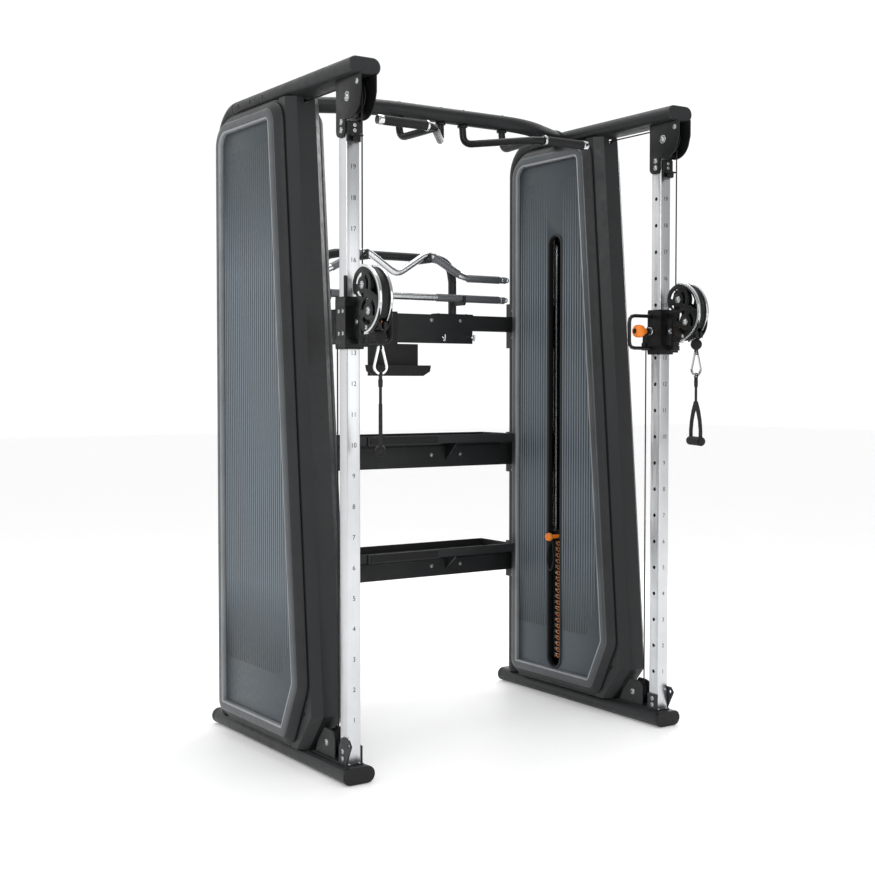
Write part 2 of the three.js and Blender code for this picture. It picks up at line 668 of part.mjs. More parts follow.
// ---- hand grip ----
// The cable's ball stop, with its swivel eye.
function cableBall() {
  const ball = new THREE.SphereGeometry(ballRadius, 14, 8).rotateX(Math.PI / 2).translate(0, ballY, ballZ);
  const neck = rod(7, [0, ballY, ballZ - 16], [0, ballY, eyeZ + 9]);
  const tab = box([-2.5, ballY - 8, eyeZ - 10], [2.5, ballY + 8, eyeZ + 12]);
  const ferrule = rod(5, [0, ballY, ballZ + 15], [0, ballY, ballZ + 30], 12);
  return cut(join(ball, neck, tab, ferrule), rod(6.8, [-5, ballY, eyeZ - 1], [5, ballY, eyeZ - 1]));
}

// Turns a piece of the hanging handle a quarter turn about the cable's line.
function quarterTurn(geometry) {
  return geometry.translate(0, -ballY, 0).rotateZ(Math.PI / 2).translate(0, ballY, 0);
}

// A pear-shaped snap hook, flat in the x-z plane.
function snapHook() {
  const bar = 6;
  const wide = 20;
  const narrow = 5;
  const pear = (grow) => new THREE.Shape()
    .absarc(ballY, hookBottomZ + bar / 2 + wide, wide + grow, Math.PI, 2 * Math.PI, false)
    .absarc(ballY, eyeZ - narrow - 2, narrow + grow, 0, Math.PI, false);
  const loop = pear(bar);
  loop.holes.push(new THREE.Path(pear(0).getPoints(5).reverse()));
  return quarterTurn(plateAcrossX(loop, -bar / 2, bar / 2));
}

// The handle's steel link and its webbing triangle, hanging from the hook and turned about z.
function handleStrap(turn) {
  const link = cut(rod(8, [0, ballY, hookBottomZ - 4], [0, ballY, 1296], 12, 7),
    box([-20, ballY - 20, hookBottomZ - 18], [-2.5, ballY + 20, hookBottomZ + 20]),
    box([2.5, ballY - 20, hookBottomZ - 18], [20, ballY + 20, hookBottomZ + 20]));
  const eyeRing = rod(10, [-2.5, ballY, hookBottomZ], [2.5, ballY, hookBottomZ]);
  const cord = rod(5, [0, ballY, 1300], [0, ballY, 1222], 10);
  const outside = gripHalf + 4;
  const inside = gripHalf - 4;
  const legZ = gripZ + 40;
  const outer = new THREE.Shape()
    .moveTo(-outside, gripZ).lineTo(-outside, legZ).quadraticCurveTo(-outside + 7, 1194, -6, 1243)
    .lineTo(6, 1243).quadraticCurveTo(outside - 7, 1194, outside, legZ).lineTo(outside, gripZ)
    .lineTo(inside, gripZ).lineTo(inside, legZ).quadraticCurveTo(inside - 8, 1190, 0, 1226)
    .quadraticCurveTo(-inside + 8, 1190, -inside, legZ).lineTo(-inside, gripZ);
  const webbing = new THREE.ExtrudeGeometry(outer, { depth: 12, bevelEnabled: false, curveSegments: 3 })
    .rotateX(Math.PI / 2).translate(0, 6, 0);
  const eyes = [-1, 1].map((side) => rod(
    17, [side * (gripHalf - 5), 0, gripZ], [side * (gripHalf + 6), 0, gripZ], 14));
  const triangle = join(webbing, ...eyes).rotateZ(THREE.MathUtils.degToRad(90 - turn)).translate(0, ballY, 0);
  const spindleBore = rod(6.5, [-80, 0, gripZ], [80, 0, gripZ])
    .rotateZ(THREE.MathUtils.degToRad(90 - turn)).translate(0, ballY, 0);
  const barBore = rod(6.2, [-9, ballY, hookBottomZ], [9, ballY, hookBottomZ]);
  return cut(join(link, eyeRing, cord, triangle), spindleBore, barBore);
}

function handleGrip(turn) {
  const inner = gripHalf - 5 - touchGap;
  return join(
    rod(15, [-inner, 0, gripZ], [inner, 0, gripZ], 14),
    rod(6, [-gripHalf - 10, 0, gripZ], [gripHalf + 10, 0, gripZ]),
    rod(10, [-gripHalf - 12, 0, gripZ], [-gripHalf - 6 - touchGap, 0, gripZ]),
    rod(10, [gripHalf + 6 + touchGap, 0, gripZ], [gripHalf + 12, 0, gripZ]),
  ).rotateZ(THREE.MathUtils.degToRad(90 - turn)).translate(0, ballY, 0);
}

// ---- crossmember and pull-up handles, drawn in the machine's own frame ----
function crossbar() {
  const endX = columnX - ovalWidth / 2 + 14;
  const slope = (crossbarEndY - crossbarY) / (columnX - ovalWidth / 2 - crossbarBendX);
  const endY = crossbarY + slope * (endX - crossbarBendX);
  const bar = tube([
    [-endX, endY, crossbarZ], [-crossbarBendX, crossbarY, crossbarZ],
    [crossbarBendX, crossbarY, crossbarZ], [endX, endY, crossbarZ]], crossbarRadius, 110, 16);
  const collars = [-1, 1].map((side) => rod(crossbarRadius + 3,
    [side * (endX - 22), endY - slope * 22, crossbarZ], [side * (endX + 4), endY + slope * 4, crossbarZ], 20));
  const beams = [-columnX, columnX].map((x) => ovalAlongY(300, 740, beamMiddleZ, 0.4).translate(x, 0, 0));
  const trimmed = cut(join(bar, ...collars), ...beams);
  const beyond = [
    box([-900, 300, 2200], [-columnX, 740, 2400]),
    box([columnX, 300, 2200], [900, 740, 2400])];
  return cut(trimmed, ...beyond);
}

// One pull-up handle: a bent rod out to a straight grip, steadied by a second rod.
function pullUpHandle() {
  const topZ = crossbarZ - crossbarRadius - touchGap;
  const lowZ = 2211;
  const main = tube([
    [50, crossbarY, topZ], [52, crossbarY - 6, lowZ], [232, 183, lowZ + 3], [460, 180, lowZ + 3]],
  pullUpRodRadius, 46);
  const brace = tube([
    [234, crossbarY, topZ], [234, crossbarY - 8, lowZ - 4], [222, 200, lowZ]], pullUpRodRadius, 40);
  const grip = rod(pullUpGripRadius, [266, 181, lowZ + 3], [446, 180, lowZ + 3], 20);
  const ring = rod(pullUpGripRadius + 2.5, [258, 181, lowZ + 3], [267, 181, lowZ + 3], 20);
  const cap = rod(pullUpGripRadius + 0.5, [445, 180, lowZ + 3], [467, 180, lowZ + 3], 20);
  return join(main, brace, grip, ring, cap);
}

// ---- storage rack ----
function rackEndPlates(z0, z1) {
  return [-1, 1].map((side) => box(
    [side < 0 ? -rackHalf : rackHalf - 5, 846, z0], [side < 0 ? -rackHalf + 5 : rackHalf, 894, z1]));
}

// The upper crossbeam with its accessory plate and hooks.
function crossbeam() {
  const beam = box([-rackHalf + 2, rackBeamFrontY, 1531], [rackHalf - 2, rackBeamRearY, 1595]);
  const apron = box([-405, rackBeamFrontY - 4, 1476], [405, rackBeamFrontY + 2, 1534]);
  const hooks = [-385, -238, 238, 385].map((x) => tube([
    [x, rackBeamFrontY, 1506], [x, 822, 1500], [x, 808, 1486], [x, 806, 1512]], 4, 14, 8, 2));
  return join(beam, apron, ...rackEndPlates(1462, 1652), ...hooks);
}

// The bar rack: a round-cornered tube loop standing on the crossbeam, with four cradles.
function barRack() {
  const reach = 318;
  const y = 870;
  const base = 1595 + touchGap;
  const loop = tube([
    [-reach, y, base], [-reach, y, 1826], [reach, y, 1826], [reach, y, base]], 17, 96);
  const cradle = (x, z) => {
    const seat = z - barRadius - touchGap;
    const shape = polygon([
      [y, seat - 14], [barY - 16, seat - 14], [barY - 23, seat - 6],
      [barY - 23, z + 10], [barY - 15.5, z + 10],
      [barY - 15.5, seat], [barY + 15.5, seat], [barY + 22, seat + 10], [y, seat + 10]]);
    return plateAcrossX(shape, x - 5, x + 5);
  };
  const cradles = [
    [-curlPeakX, curlPeakZ - 8], [curlPeakX, curlPeakZ - 8], [-reach, straightBarZ], [reach, straightBarZ]];
  return join(loop, ...cradles.map(([x, z]) => cradle(x, z)));
}

// A loose bar's ends: a chrome collar and an eye at each end, on the bar's own line.
function barEnds(half, z) {
  return [-1, 1].flatMap((side) => [
    rod(barRadius + 2, [side * (half - 22), barY, z], [side * half, barY, z]),
    cut(rod(11, [side * (half + 9), barY - 3, z], [side * (half + 9), barY + 3, z]),
      rod(6, [side * (half + 9), barY - 5, z], [side * (half + 9), barY + 5, z])),
  ]);
}

function straightBar() {
  const half = 533;
  return join(rod(barRadius, [-half, barY, straightBarZ], [half, barY, straightBarZ]),
    ...barEnds(half, straightBarZ));
}

// The curl bar: two angled hand places between straight ends.
function curlBar() {
  const half = 540;
  const low = curlPeakZ - 90;
  return join(tube([
    [-half, barY, low], [-330, barY, low], [-curlPeakX, barY, curlPeakZ + 4], [0, barY, low],
    [curlPeakX, barY, curlPeakZ + 4], [330, barY, low], [half, barY, low]], barRadius, 34),
  ...barEnds(half, low));
}

// A storage shelf: a crossbeam, two gussets and a lipped tray. wells are the round openings.
function shelf(beamBottom, beamTop, trayTop, wells) {
  const lip = 34;
  const trayBottom = trayTop - lip;
  const beam = box([-rackHalf + 2, rackBeamFrontY, beamBottom], [rackHalf - 2, rackBeamRearY, beamTop]);
  const neck = box([-560, 856, beamTop - 4], [560, 884, trayBottom + 4]);
  const tray = cut(box([-shelfHalf, shelfFrontY, trayBottom], [shelfHalf, shelfRearY, trayTop]),
    box([-shelfHalf + 4, shelfFrontY + 4, trayBottom + 5], [shelfHalf - 4, shelfRearY - 4, trayTop + 1]));
  const gussetShape = polygon([
    [852, trayBottom + 2], [772, trayBottom + 2], [776, trayBottom - 8], [852, beamBottom + 26]]);
  const gussets = [-273, 273].map((x) => plateAcrossX(gussetShape, x - 3, x + 3));
  const label = box([-170, shelfFrontY - 7, trayBottom - 3], [170, shelfFrontY + 2, trayTop - 1]);
  const holes = wells.map(
    ({ x, radius }) => rod(radius, [x, 866, trayBottom - 2], [x, 866, trayBottom + 8], 24));
  const whole = join(beam, neck, ...gussets, ...rackEndPlates(beamBottom - 34, beamTop + 52), label, tray);
  return holes.length ? cut(whole, ...holes) : whole;
}

// The tablet holder: a ledge, a leaning back plate and an arm from the crossbeam.
function tabletHolder() {
  const ledge = new THREE.Shape([
    [-155, 1383], [-150, 1358], [-118, 1340], [118, 1340], [150, 1358], [155, 1383]]
    .map(([x, z]) => new THREE.Vector2(x, z)));
  const front = new THREE.ExtrudeGeometry(ledge, { depth: 5, bevelEnabled: false })
    .rotateX(Math.PI / 2).translate(0, 790, 0);
  const floor = box([-118, 786, 1340], [118, 832, 1345]);
  const back = box([-118, 826, 1342], [118, 832, 1470]);
  const arm = box([-20, 826, 1440], [20, rackBeamFrontY - 4 - touchGap, 1528]);
  const armTop = box([-20, 826, 1520], [20, 832, 1600]);
  return join(front, floor, back, arm, armTop);
}

// ---- assembly ----
function named(name, geometry, material) {
  const mesh = new THREE.Mesh(geometry, material);
  mesh.name = name;
  return mesh;
}

const sideParts = [
  ['foot', foot(), charcoal],
  ['side_frame', sideFrame(), charcoal],
  ['column', column(), chrome],
  ['spine_cover', spineCover(), darkCover],
  ['outer_panel', panelTray(), panelGrey],
  ['inner_panel', innerPanel(), panelGrey],
  ['top_pulley', pulley(topPulley, topPulley.groove, topPulley.outer, 11, axleRadius + 1 + runningGap), plastic],
  ['base_pulley', pulley(basePulley, basePulley.groove, basePulley.outer, 10), plastic],
  ['tower_pulley', pulley(towerPulley, towerPulley.groove, towerPulley.outer, 10), plastic],
  ['carriage_sleeve', carriageSleeve(), satinBlack],
  ['pull_pin', pullPin(), orange],
  ['swivel_head', swivelHead(), satinBlack],
  ['upper_head_pulley', pulley(upperHeadPulley, headPulleyGroove, headPulleyOuter, 9), plastic],
  ['lower_head_pulley', pulley(lowerHeadPulley, headPulleyGroove, headPulleyOuter, 9), plastic],
  ['cable_ball', cableBall(), rubber],
  ['snap_hook', snapHook(), chrome],
  ['weight_stack', weightStack(), castIron],
  ['stack_carrier', stackCarrier(), castIron],
  ['selector_pin', selectorPin(), orange],
  ['guide_rods', guideRods(), chrome],
  ['front_cable', frontCable(), cableBlack],
  ['rear_cable', rearCable(), cableBlack],
  ['feed_cable', feedCable(), cableBlack],
];

const machine = new THREE.Group();
for (const side of ['left', 'right']) {
  const half = new THREE.Group();
  half.position.x = side === 'left' ? -columnX : columnX;
  for (const [name, geometry, material] of sideParts) {
    half.add(named(`${side}_${name}`, side === 'left' ? mirroredInX(geometry) : geometry, material));
  }
  half.add(named(`${side}_handle_strap`, handleStrap(gripTurn[side]), rubber));
  half.add(named(`${side}_handle_grip`, handleGrip(gripTurn[side]), rubber));
  machine.add(half);
}
machine.add(
  named('crossbar', crossbar(), charcoal),
  named('left_pull_up_handle', mirroredInX(pullUpHandle()), plastic),
  named('right_pull_up_handle', pullUpHandle(), plastic),
  named('crossbeam', crossbeam(), charcoal),
  named('bar_rack', barRack(), charcoal),
  named('curl_bar', curlBar(), chrome),
  named('straight_bar', straightBar(), chrome),
  named('upper_shelf', shelf(963, 1049, 1100, []), charcoal),
  named('lower_shelf', shelf(509, 578, 634, [-440, -220, 0, 220, 440].map((x) => ({ x, radius: 88 }))), charcoal),
  named('tablet_holder', tabletHolder(), darkCover),
);

// The origin is on the floor, under the middle of the whole machine.
const span = new THREE.Box3().setFromObject(machine);
machine.position.y = -(span.min.y + span.max.y) / 2;

const group = new THREE.Group();
group.add(machine);
export default group;
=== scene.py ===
"""The looks of a twin-tower functional trainer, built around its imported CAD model.

Lengths are written in millimetres in a tower's own frame and turned into metres by place(): x is
measured outwards from the tower's column, y backwards from the column line and z up from the floor.
Side 1 is the right-hand tower, side -1 is its mirror image, and side 0 is the machine's own middle.
"""
import json
import math
import bmesh
import bpy
from mathutils import Matrix, Vector


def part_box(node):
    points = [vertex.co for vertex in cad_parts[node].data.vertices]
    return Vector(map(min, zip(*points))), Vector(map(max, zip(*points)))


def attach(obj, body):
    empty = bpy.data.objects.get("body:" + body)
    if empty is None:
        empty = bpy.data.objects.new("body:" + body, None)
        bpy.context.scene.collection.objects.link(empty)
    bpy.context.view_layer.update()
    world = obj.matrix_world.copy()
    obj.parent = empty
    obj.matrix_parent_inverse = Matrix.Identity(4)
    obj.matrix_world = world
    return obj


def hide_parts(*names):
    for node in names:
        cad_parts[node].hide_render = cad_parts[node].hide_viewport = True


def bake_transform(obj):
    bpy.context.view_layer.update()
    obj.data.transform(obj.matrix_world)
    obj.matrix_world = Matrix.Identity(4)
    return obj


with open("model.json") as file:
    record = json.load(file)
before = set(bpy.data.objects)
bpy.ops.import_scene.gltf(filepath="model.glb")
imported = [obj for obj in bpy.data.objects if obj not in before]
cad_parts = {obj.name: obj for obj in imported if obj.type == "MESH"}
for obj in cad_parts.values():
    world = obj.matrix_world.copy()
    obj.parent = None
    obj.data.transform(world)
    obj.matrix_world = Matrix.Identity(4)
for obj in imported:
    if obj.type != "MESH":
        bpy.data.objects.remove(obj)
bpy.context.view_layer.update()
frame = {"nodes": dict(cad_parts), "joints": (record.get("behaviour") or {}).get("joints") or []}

MM = 0.001
SIDES = {"left": -1, "right": 1}
LOW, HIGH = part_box("right_column")
COLUMN_X = (LOW.x + HIGH.x) / 2 / MM
COLUMN_Y = (LOW.y + HIGH.y) / 2 / MM
COLUMN_BOTTOM = LOW.z / MM
COLUMN_TOP = HIGH.z / MM
JOINTS = {joint["name"]: joint for joint in frame["joints"]}

HOLE_PITCH = 100
FIRST_HOLE = 206
HOLE_COUNT = 19
REST_Z = FIRST_HOLE + 13 * HOLE_PITCH
OVAL_WIDTH = 118
OVAL_HEIGHT = 54
BEAM_BOTTOM = 2286
BEAM_TOP = 2342
BEAM_FRONT = -102
BEAM_SEAM = 751
BEND_RADIUS = 119
FOOT_TOP = 58
TOWER_HALF = 100
PANEL_REAR = 806
PANEL_FRONT_FOOT = 285
PANEL_FRONT_TOP = 359
PANEL_TOP = 2285
PANEL_LEAN = 0.083
FOOT_CORNER_SLOPE = 2.07
STACK_Y = 533
COLLAR_OUT = 12
PLATE_COUNT = 20
PLATE_PITCH = 24.5
STACK_BOTTOM = 172
BAR_Y = 800
CABLE_RADIUS = 2.6
CABLE_BEND = 0.5
BOLT_SCALE = 0.92
SHELF_HALF = 544


def pivot(joint_name):
    """A joint's (y, z) in the tower frame."""
    spot = JOINTS[joint_name]["pos_m"]
    return spot[1] / MM - COLUMN_Y, spot[2] / MM


TOP_PULLEY = pivot("right_top_pulley_spin")
BASE_PULLEY = pivot("right_base_pulley_spin")
TOWER_PULLEY = pivot("right_tower_pulley_spin")
UPPER_PULLEY = pivot("right_upper_head_pulley_spin")
LOWER_PULLEY = pivot("right_lower_head_pulley_spin")
FRONT_CABLE_Y = pivot("right_head_swivel")[0]
REAR_CABLE_Y = 80
HAND_Y, GRIP_Z = pivot("right_grip_spin")


# ---- places and meshes ----
def place(side, point):
    x, y, z = point
    if side:
        x = side * (COLUMN_X + x)
    return Vector((x * MM, (y + COLUMN_Y) * MM, z * MM))


def finish_piece(mesh, name, side, body, material, crease=35):
    """Moves a mesh made in the tower frame into place, smooths it and hangs it on its body."""
    for vertex in mesh.vertices:
        vertex.co = place(side, vertex.co)
    work = bmesh.new()
    work.from_mesh(mesh)
    bmesh.ops.remove_doubles(work, verts=work.verts, dist=1e-6)
    bmesh.ops.recalc_face_normals(work, faces=work.faces)
    work.to_mesh(mesh)
    work.free()
    mesh.name = name
    piece = bpy.data.objects.new(name, mesh)
    bpy.context.collection.objects.link(piece)
    mesh.materials.clear()
    mesh.materials.append(material)
    smooth(piece, crease)
    if body:
        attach(piece, body)
    return piece


def frame_piece(mesh, name, side, material, crease=35):
    """A piece that rides on the fixed frame."""
    return finish_piece(mesh, name, side, "frame", material, crease)


def smooth(piece, crease):
    """Shades a piece smooth, apart from edges sharper than the crease angle."""
    work = bmesh.new()
    work.from_mesh(piece.data)
    for face in work.faces:
        face.smooth = True
    for edge in work.edges:
        sharp = len(edge.link_faces) != 2 or edge.calc_face_angle(0) > math.radians(crease)
        edge.smooth = not sharp
    work.to_mesh(piece.data)
    work.free()


def soften(piece, width, segments=3):
    """Rounds a piece's sharp edges off."""
    bevel = piece.modifiers.new("edge", "BEVEL")
    bevel.width = width * MM
    bevel.segments = segments
    bevel.limit_method = "ANGLE"
    bevel.angle_limit = math.radians(32)
    bevel.harden_normals = False
    return piece


def mesh_from(vertices, faces):
    mesh = bpy.data.meshes.new("made")
    mesh.from_pydata(vertices, [], faces)
    return mesh


def box_mesh(low, high):
    (x0, y0, z0), (x1, y1, z1) = low, high
    corners = [(x, y, z) for x in (x0, x1) for y in (y0, y1) for z in (z0, z1)]
    faces = [(0, 1, 3, 2), (4, 6, 7, 5), (0, 4, 5, 1), (2, 3, 7, 6), (0, 2, 6, 4), (1, 5, 7, 3)]
    return mesh_from(corners, faces)


def joined(meshes):
    """Several meshes as one."""
    work = bmesh.new()
    for mesh in meshes:
        work.from_mesh(mesh)
    whole = bpy.data.meshes.new("joined")
    work.to_mesh(whole)
    work.free()
    return whole


def ring_faces(rings, count, closed=False):
    """Quads between one ring of vertices and the next, and back to the first when closed."""
    faces = []
    for ring in range(rings if closed else rings - 1):
        following = (ring + 1) % rings
        for i in range(count):
            j = (i + 1) % count
            faces.append((ring * count + i, ring * count + j, following * count + j, following * count + i))
    return faces


def lathe_mesh(profile, origin, axis, segments=40):
    """A solid turned from a (radius, distance along the axis) profile."""
    turn = Vector((0, 0, 1)).rotation_difference(Vector(axis)).to_matrix()
    vertices = []
    for radius, along in profile:
        for i in range(segments):
            angle = 2 * math.pi * i / segments
            spoke = Vector((radius * math.cos(angle), radius * math.sin(angle), along))
            vertices.append(tuple(turn @ spoke + Vector(origin)))
    mesh = mesh_from(vertices, ring_faces(len(profile), segments))
    work = bmesh.new()
    work.from_mesh(mesh)
    bmesh.ops.remove_doubles(work, verts=work.verts, dist=1e-4)
    bmesh.ops.dissolve_degenerate(work, edges=work.edges, dist=1e-5)
    work.to_mesh(mesh)
    work.free()
    return mesh


def arc(centre, radius, start, end, steps=24):
    """Points along an arc, with the angles in degrees."""
    points = []
    for i in range(steps + 1):
        angle = math.radians(start + (end - start) * i / steps)
        points.append((centre[0] + radius * math.cos(angle), centre[1] + radius * math.sin(angle)))
    return points


def plate_mesh(outlines, x0, x1, edge=1.0):
    """A plate in the y-z plane from closed outlines, the later ones cutting holes."""
    curve = bpy.data.curves.new("plate", "CURVE")
    curve.dimensions = "2D"
    curve.fill_mode = "BOTH"
    curve.extrude = max((x1 - x0) / 2 - edge, 0.01)
    curve.bevel_depth = edge
    curve.bevel_resolution = 1
    curve.offset = -edge
    for outline in outlines:
        spline = curve.splines.new("POLY")
        spline.points.add(len(outline) - 1)
        for point, (u, v) in zip(spline.points, outline):
            point.co = (u, v, 0, 1)
        spline.use_cyclic_u = True
    holder = bpy.data.objects.new("plate", curve)
    mesh = bpy.data.meshes.new_from_object(holder)
    bpy.data.objects.remove(holder)
    middle = (x0 + x1) / 2
    for vertex in mesh.vertices:
        u, v, w = vertex.co
        vertex.co = (middle + w, u, v)
    return mesh


def rounded_points(points, bend, steps=8):
    """A polyline with its corners rounded off."""
    corners = [Vector(point) for point in points]
    path = [corners[0]]
    for before, corner, after in zip(corners, corners[1:], corners[2:]):
        back = before - corner
        ahead = after - corner
        reach = min(bend, back.length / 2.05, ahead.length / 2.05)
        start = corner + back.normalized() * reach
        end = corner + ahead.normalized() * reach
        for i in range(steps + 1):
            t = i / steps
            path.append(start * (1 - t) ** 2 + corner * 2 * t * (1 - t) + end * t ** 2)
    path.append(corners[-1])
    return path


def rod_mesh(points, radius, bend, sides=24):
    """A round bar along a polyline with rounded corners."""
    path = rounded_points(points, bend)
    vertices = []
    along = (path[1] - path[0]).normalized()
    spoke = along.orthogonal().normalized() * radius
    for i, spot in enumerate(path):
        ahead = (path[min(i + 1, len(path) - 1)] - path[max(i - 1, 0)]).normalized()
        spoke = (along.rotation_difference(ahead)) @ spoke
        along = ahead
        for k in range(sides):
            turn = Matrix.Rotation(2 * math.pi * k / sides, 3, along)
            vertices.append(tuple(turn @ spoke + spot))
    ends = [tuple(range(sides)), tuple(range(len(vertices) - sides, len(vertices)))]
    return mesh_from(vertices, ends + ring_faces(len(path), sides))


def loop_band(outline, profile):
    """A solid ring swept round an outline. The profile is closed: (how far out, x) pairs."""
    loops = [outline(grow) for grow, _ in profile]
    count = len(loops[0])
    vertices = [(x, y, z) for (_, x), loop in zip(profile, loops) for y, z in loop]
    return mesh_from(vertices, ring_faces(len(profile), count, closed=True))


# ---- materials ----
def linear(value):
    return (value / 255 / 12.92) if value <= 10 else ((value / 255 + 0.055) / 1.055) ** 2.4


def colour(hex_text, shade=1.0):
    parts = [int(hex_text[i:i + 2], 16) for i in (0, 2, 4)]
    return tuple(min(linear(part) * shade, 1.0) for part in parts) + (1.0,)


class Shader:
    """A small wrapper round a material's node tree."""

    def __init__(self, name):
        self.material = bpy.data.materials.new(name)
        self.material.use_nodes = True
        self.tree = self.material.node_tree
        self.surface = self.tree.nodes["Principled BSDF"]
        self.place = self.add("ShaderNodeTexCoord").outputs["Object"]

    def add(self, kind, **values):
        node = self.tree.nodes.new(kind)
        for key, value in values.items():
            setattr(node, key, value)
        return node

    def link(self, source, target):
        self.tree.links.new(source, target)

    def noise(self, scale, detail=4, stretch=None):
        node = self.add("ShaderNodeTexNoise")
        node.inputs["Scale"].default_value = scale
        node.inputs["Detail"].default_value = detail
        source = self.place
        if stretch:
            mapping = self.add("ShaderNodeMapping")
            mapping.inputs["Scale"].default_value = stretch
            self.link(self.place, mapping.inputs["Vector"])
            source = mapping.outputs["Vector"]
        self.link(source, node.inputs["Vector"])
        return node.outputs["Fac"]

    def spread(self, source, low, high, start=0.3, end=0.7):
        node = self.add("ShaderNodeMapRange")
        self.link(source, node.inputs["Value"])
        for key, value in (("From Min", start), ("From Max", end), ("To Min", low), ("To Max", high)):
            node.inputs[key].default_value = value
        return node.outputs["Result"]

    def blend(self, factor, first, second):
        node = self.add("ShaderNodeMix", data_type="RGBA")
        self.link(factor, node.inputs["Factor"])
        for key, value in (("A", first), ("B", second)):
            socket = [s for s in node.inputs if s.name == key and s.type == "RGBA"][0]
            if isinstance(value, tuple):
                socket.default_value = value
            else:
                self.link(value, socket)
        return [s for s in node.outputs if s.type == "RGBA"][0]

    def bump(self, height, strength, distance=0.001, after=None):
        node = self.add("ShaderNodeBump")
        node.inputs["Strength"].default_value = strength
        node.inputs["Distance"].default_value = distance
        self.link(height, node.inputs["Height"])
        if after:
            self.link(after, node.inputs["Normal"])
        return node.outputs["Normal"]

    def finish(self, base, rough, metallic, normal=None):
        self.surface.inputs["Metallic"].default_value = metallic
        self.link(base, self.surface.inputs["Base Color"])
        self.link(rough, self.surface.inputs["Roughness"])
        if normal:
            self.link(normal, self.surface.inputs["Normal"])
        return self.material


def coat(name, hex_text, rough, metallic=0.0, grain=900, strength=0.12, edge_tint=1.6):
    """A painted or moulded surface: fine grain, soft cloudiness and lighter sharp edges."""
    shader = Shader(name)
    cloud = shader.spread(shader.noise(7), 0, 1)
    base = shader.blend(cloud, colour(hex_text, 0.86), colour(hex_text, 1.14))
    edge = shader.spread(shader.add("ShaderNodeNewGeometry").outputs["Pointiness"], 0, 0.6, 0.52, 0.6)
    # Sharp edges, found by pointiness, are drawn lighter by the edge tint.
    base = shader.blend(edge, base, colour(hex_text, edge_tint))
    roughness = shader.spread(shader.noise(40, 6), rough - 0.06, rough + 0.08)
    shader.surface.inputs["Specular IOR Level"].default_value = 0.3
    return shader.finish(base, roughness, metallic, shader.bump(shader.noise(grain, 2), strength, 0.0004))


def polished(name, hex_text, rough, streaks=(300, 300, 3)):
    """Bright metal with fine draw marks along its length and faint smudges."""
    shader = Shader(name)
    smudge = shader.spread(shader.noise(9), 0, 1)
    base = shader.blend(smudge, colour(hex_text, 0.93), colour(hex_text, 1.03))
    lines = shader.noise(1, 3, streaks)
    roughness = shader.spread(lines, rough * 0.88, rough * 1.15)
    return shader.finish(base, roughness, 1.0, shader.bump(lines, 0.015, 0.0002))


def panel_plastic(name, low_hex, high_hex, crest_highlight_hex=None):
    """Blue-grey metallic plastic, shaded by height. A light crest colour, a painted highlight, fades out at
    both ends.
    """
    shader = Shader(name)
    axes = shader.add("ShaderNodeSeparateXYZ")
    shader.link(shader.place, axes.inputs["Vector"])
    height = shader.spread(axes.outputs["Z"], 0, 1, 0.2, 2.2)
    base = shader.blend(height, colour(low_hex), colour(high_hex))
    if crest_highlight_hex:
        # Painted highlight: the crest colour over the middle height, fading out below and above.
        fade = shader.add("ShaderNodeMath", operation="MULTIPLY")
        shader.link(shader.spread(axes.outputs["Z"], 0, 1, 0.3, 0.6), fade.inputs[0])
        shader.link(shader.spread(axes.outputs["Z"], 1, 0, 1.7, 2.13), fade.inputs[1])
        base = shader.blend(fade.outputs["Value"], base, colour(crest_highlight_hex))
    roughness = shader.spread(shader.noise(60, 6), 0.38, 0.5)
    return shader.finish(base, roughness, 0.35, shader.bump(shader.noise(1200, 2), 0.08, 0.0003))


def woven(name, hex_text):
    """Webbing: a small crosswise weave."""
    shader = Shader(name)
    weave = shader.add("ShaderNodeTexWave", wave_type="BANDS", bands_direction="Z")
    weave.inputs["Scale"].default_value = 260
    weave.inputs["Distortion"].default_value = 1.5
    shader.link(shader.place, weave.inputs["Vector"])
    base = shader.blend(weave.outputs["Fac"], colour(hex_text, 0.7), colour(hex_text, 1.5))
    roughness = shader.spread(shader.noise(80), 0.75, 0.9)
    return shader.finish(base, roughness, 0.0, shader.bump(weave.outputs["Fac"], 0.4, 0.0006))


FRAME_COAT = coat("frame_coat", "28292a", 0.42, 0.2, 1400, 0.18)
COVER = coat("cover", "222324", 0.42, 0.05, 1100, 0.10)
RIM = coat("panel_rim", "55585a", 0.36, 0.5, 1300, 0.03, 1.15)
WALL = coat("panel_wall", "2b2c2d", 0.55, 0.0, 1100, 0.08)
INSERT = panel_plastic("panel_insert", "454e54", "3a4348")
# The ribs' light crest colour 7d878e is a painted highlight along their middle height.
RIB = panel_plastic("panel_rib", "23282b", "414a50", "7d878e")
# Light grey for the rim's inner edge: a painted highlight for the light its flat face catches.
RIM_HIGHLIGHT = coat("rim_edge_highlight", "929597", 0.34, 0.4, 1300, 0.0, 1.0)
BLACK_COAT = coat("black_coat", "151616", 0.36, 0.2, 1300, 0.12, 2.2)
MOULDED = coat("moulded_black", "121213", 0.45, 0.0, 700, 0.2, 2.2)
RUBBER = coat("rubber", "161617", 0.78, 0.0, 500, 0.35, 2.0)
IRON = coat("stack_iron", "232425", 0.5, 0.4, 600, 0.25, 2.4)
ORANGE = coat("orange", "f2862e", 0.32, 0.0, 900, 0.05, 1.2)
WHITE_INK = coat("white_ink", "d8d8d6", 0.55, 0.0, 900, 0.05, 1.0)
DARK_INK = coat("dark_ink", "151516", 0.55, 0.0, 900, 0.05, 1.0)
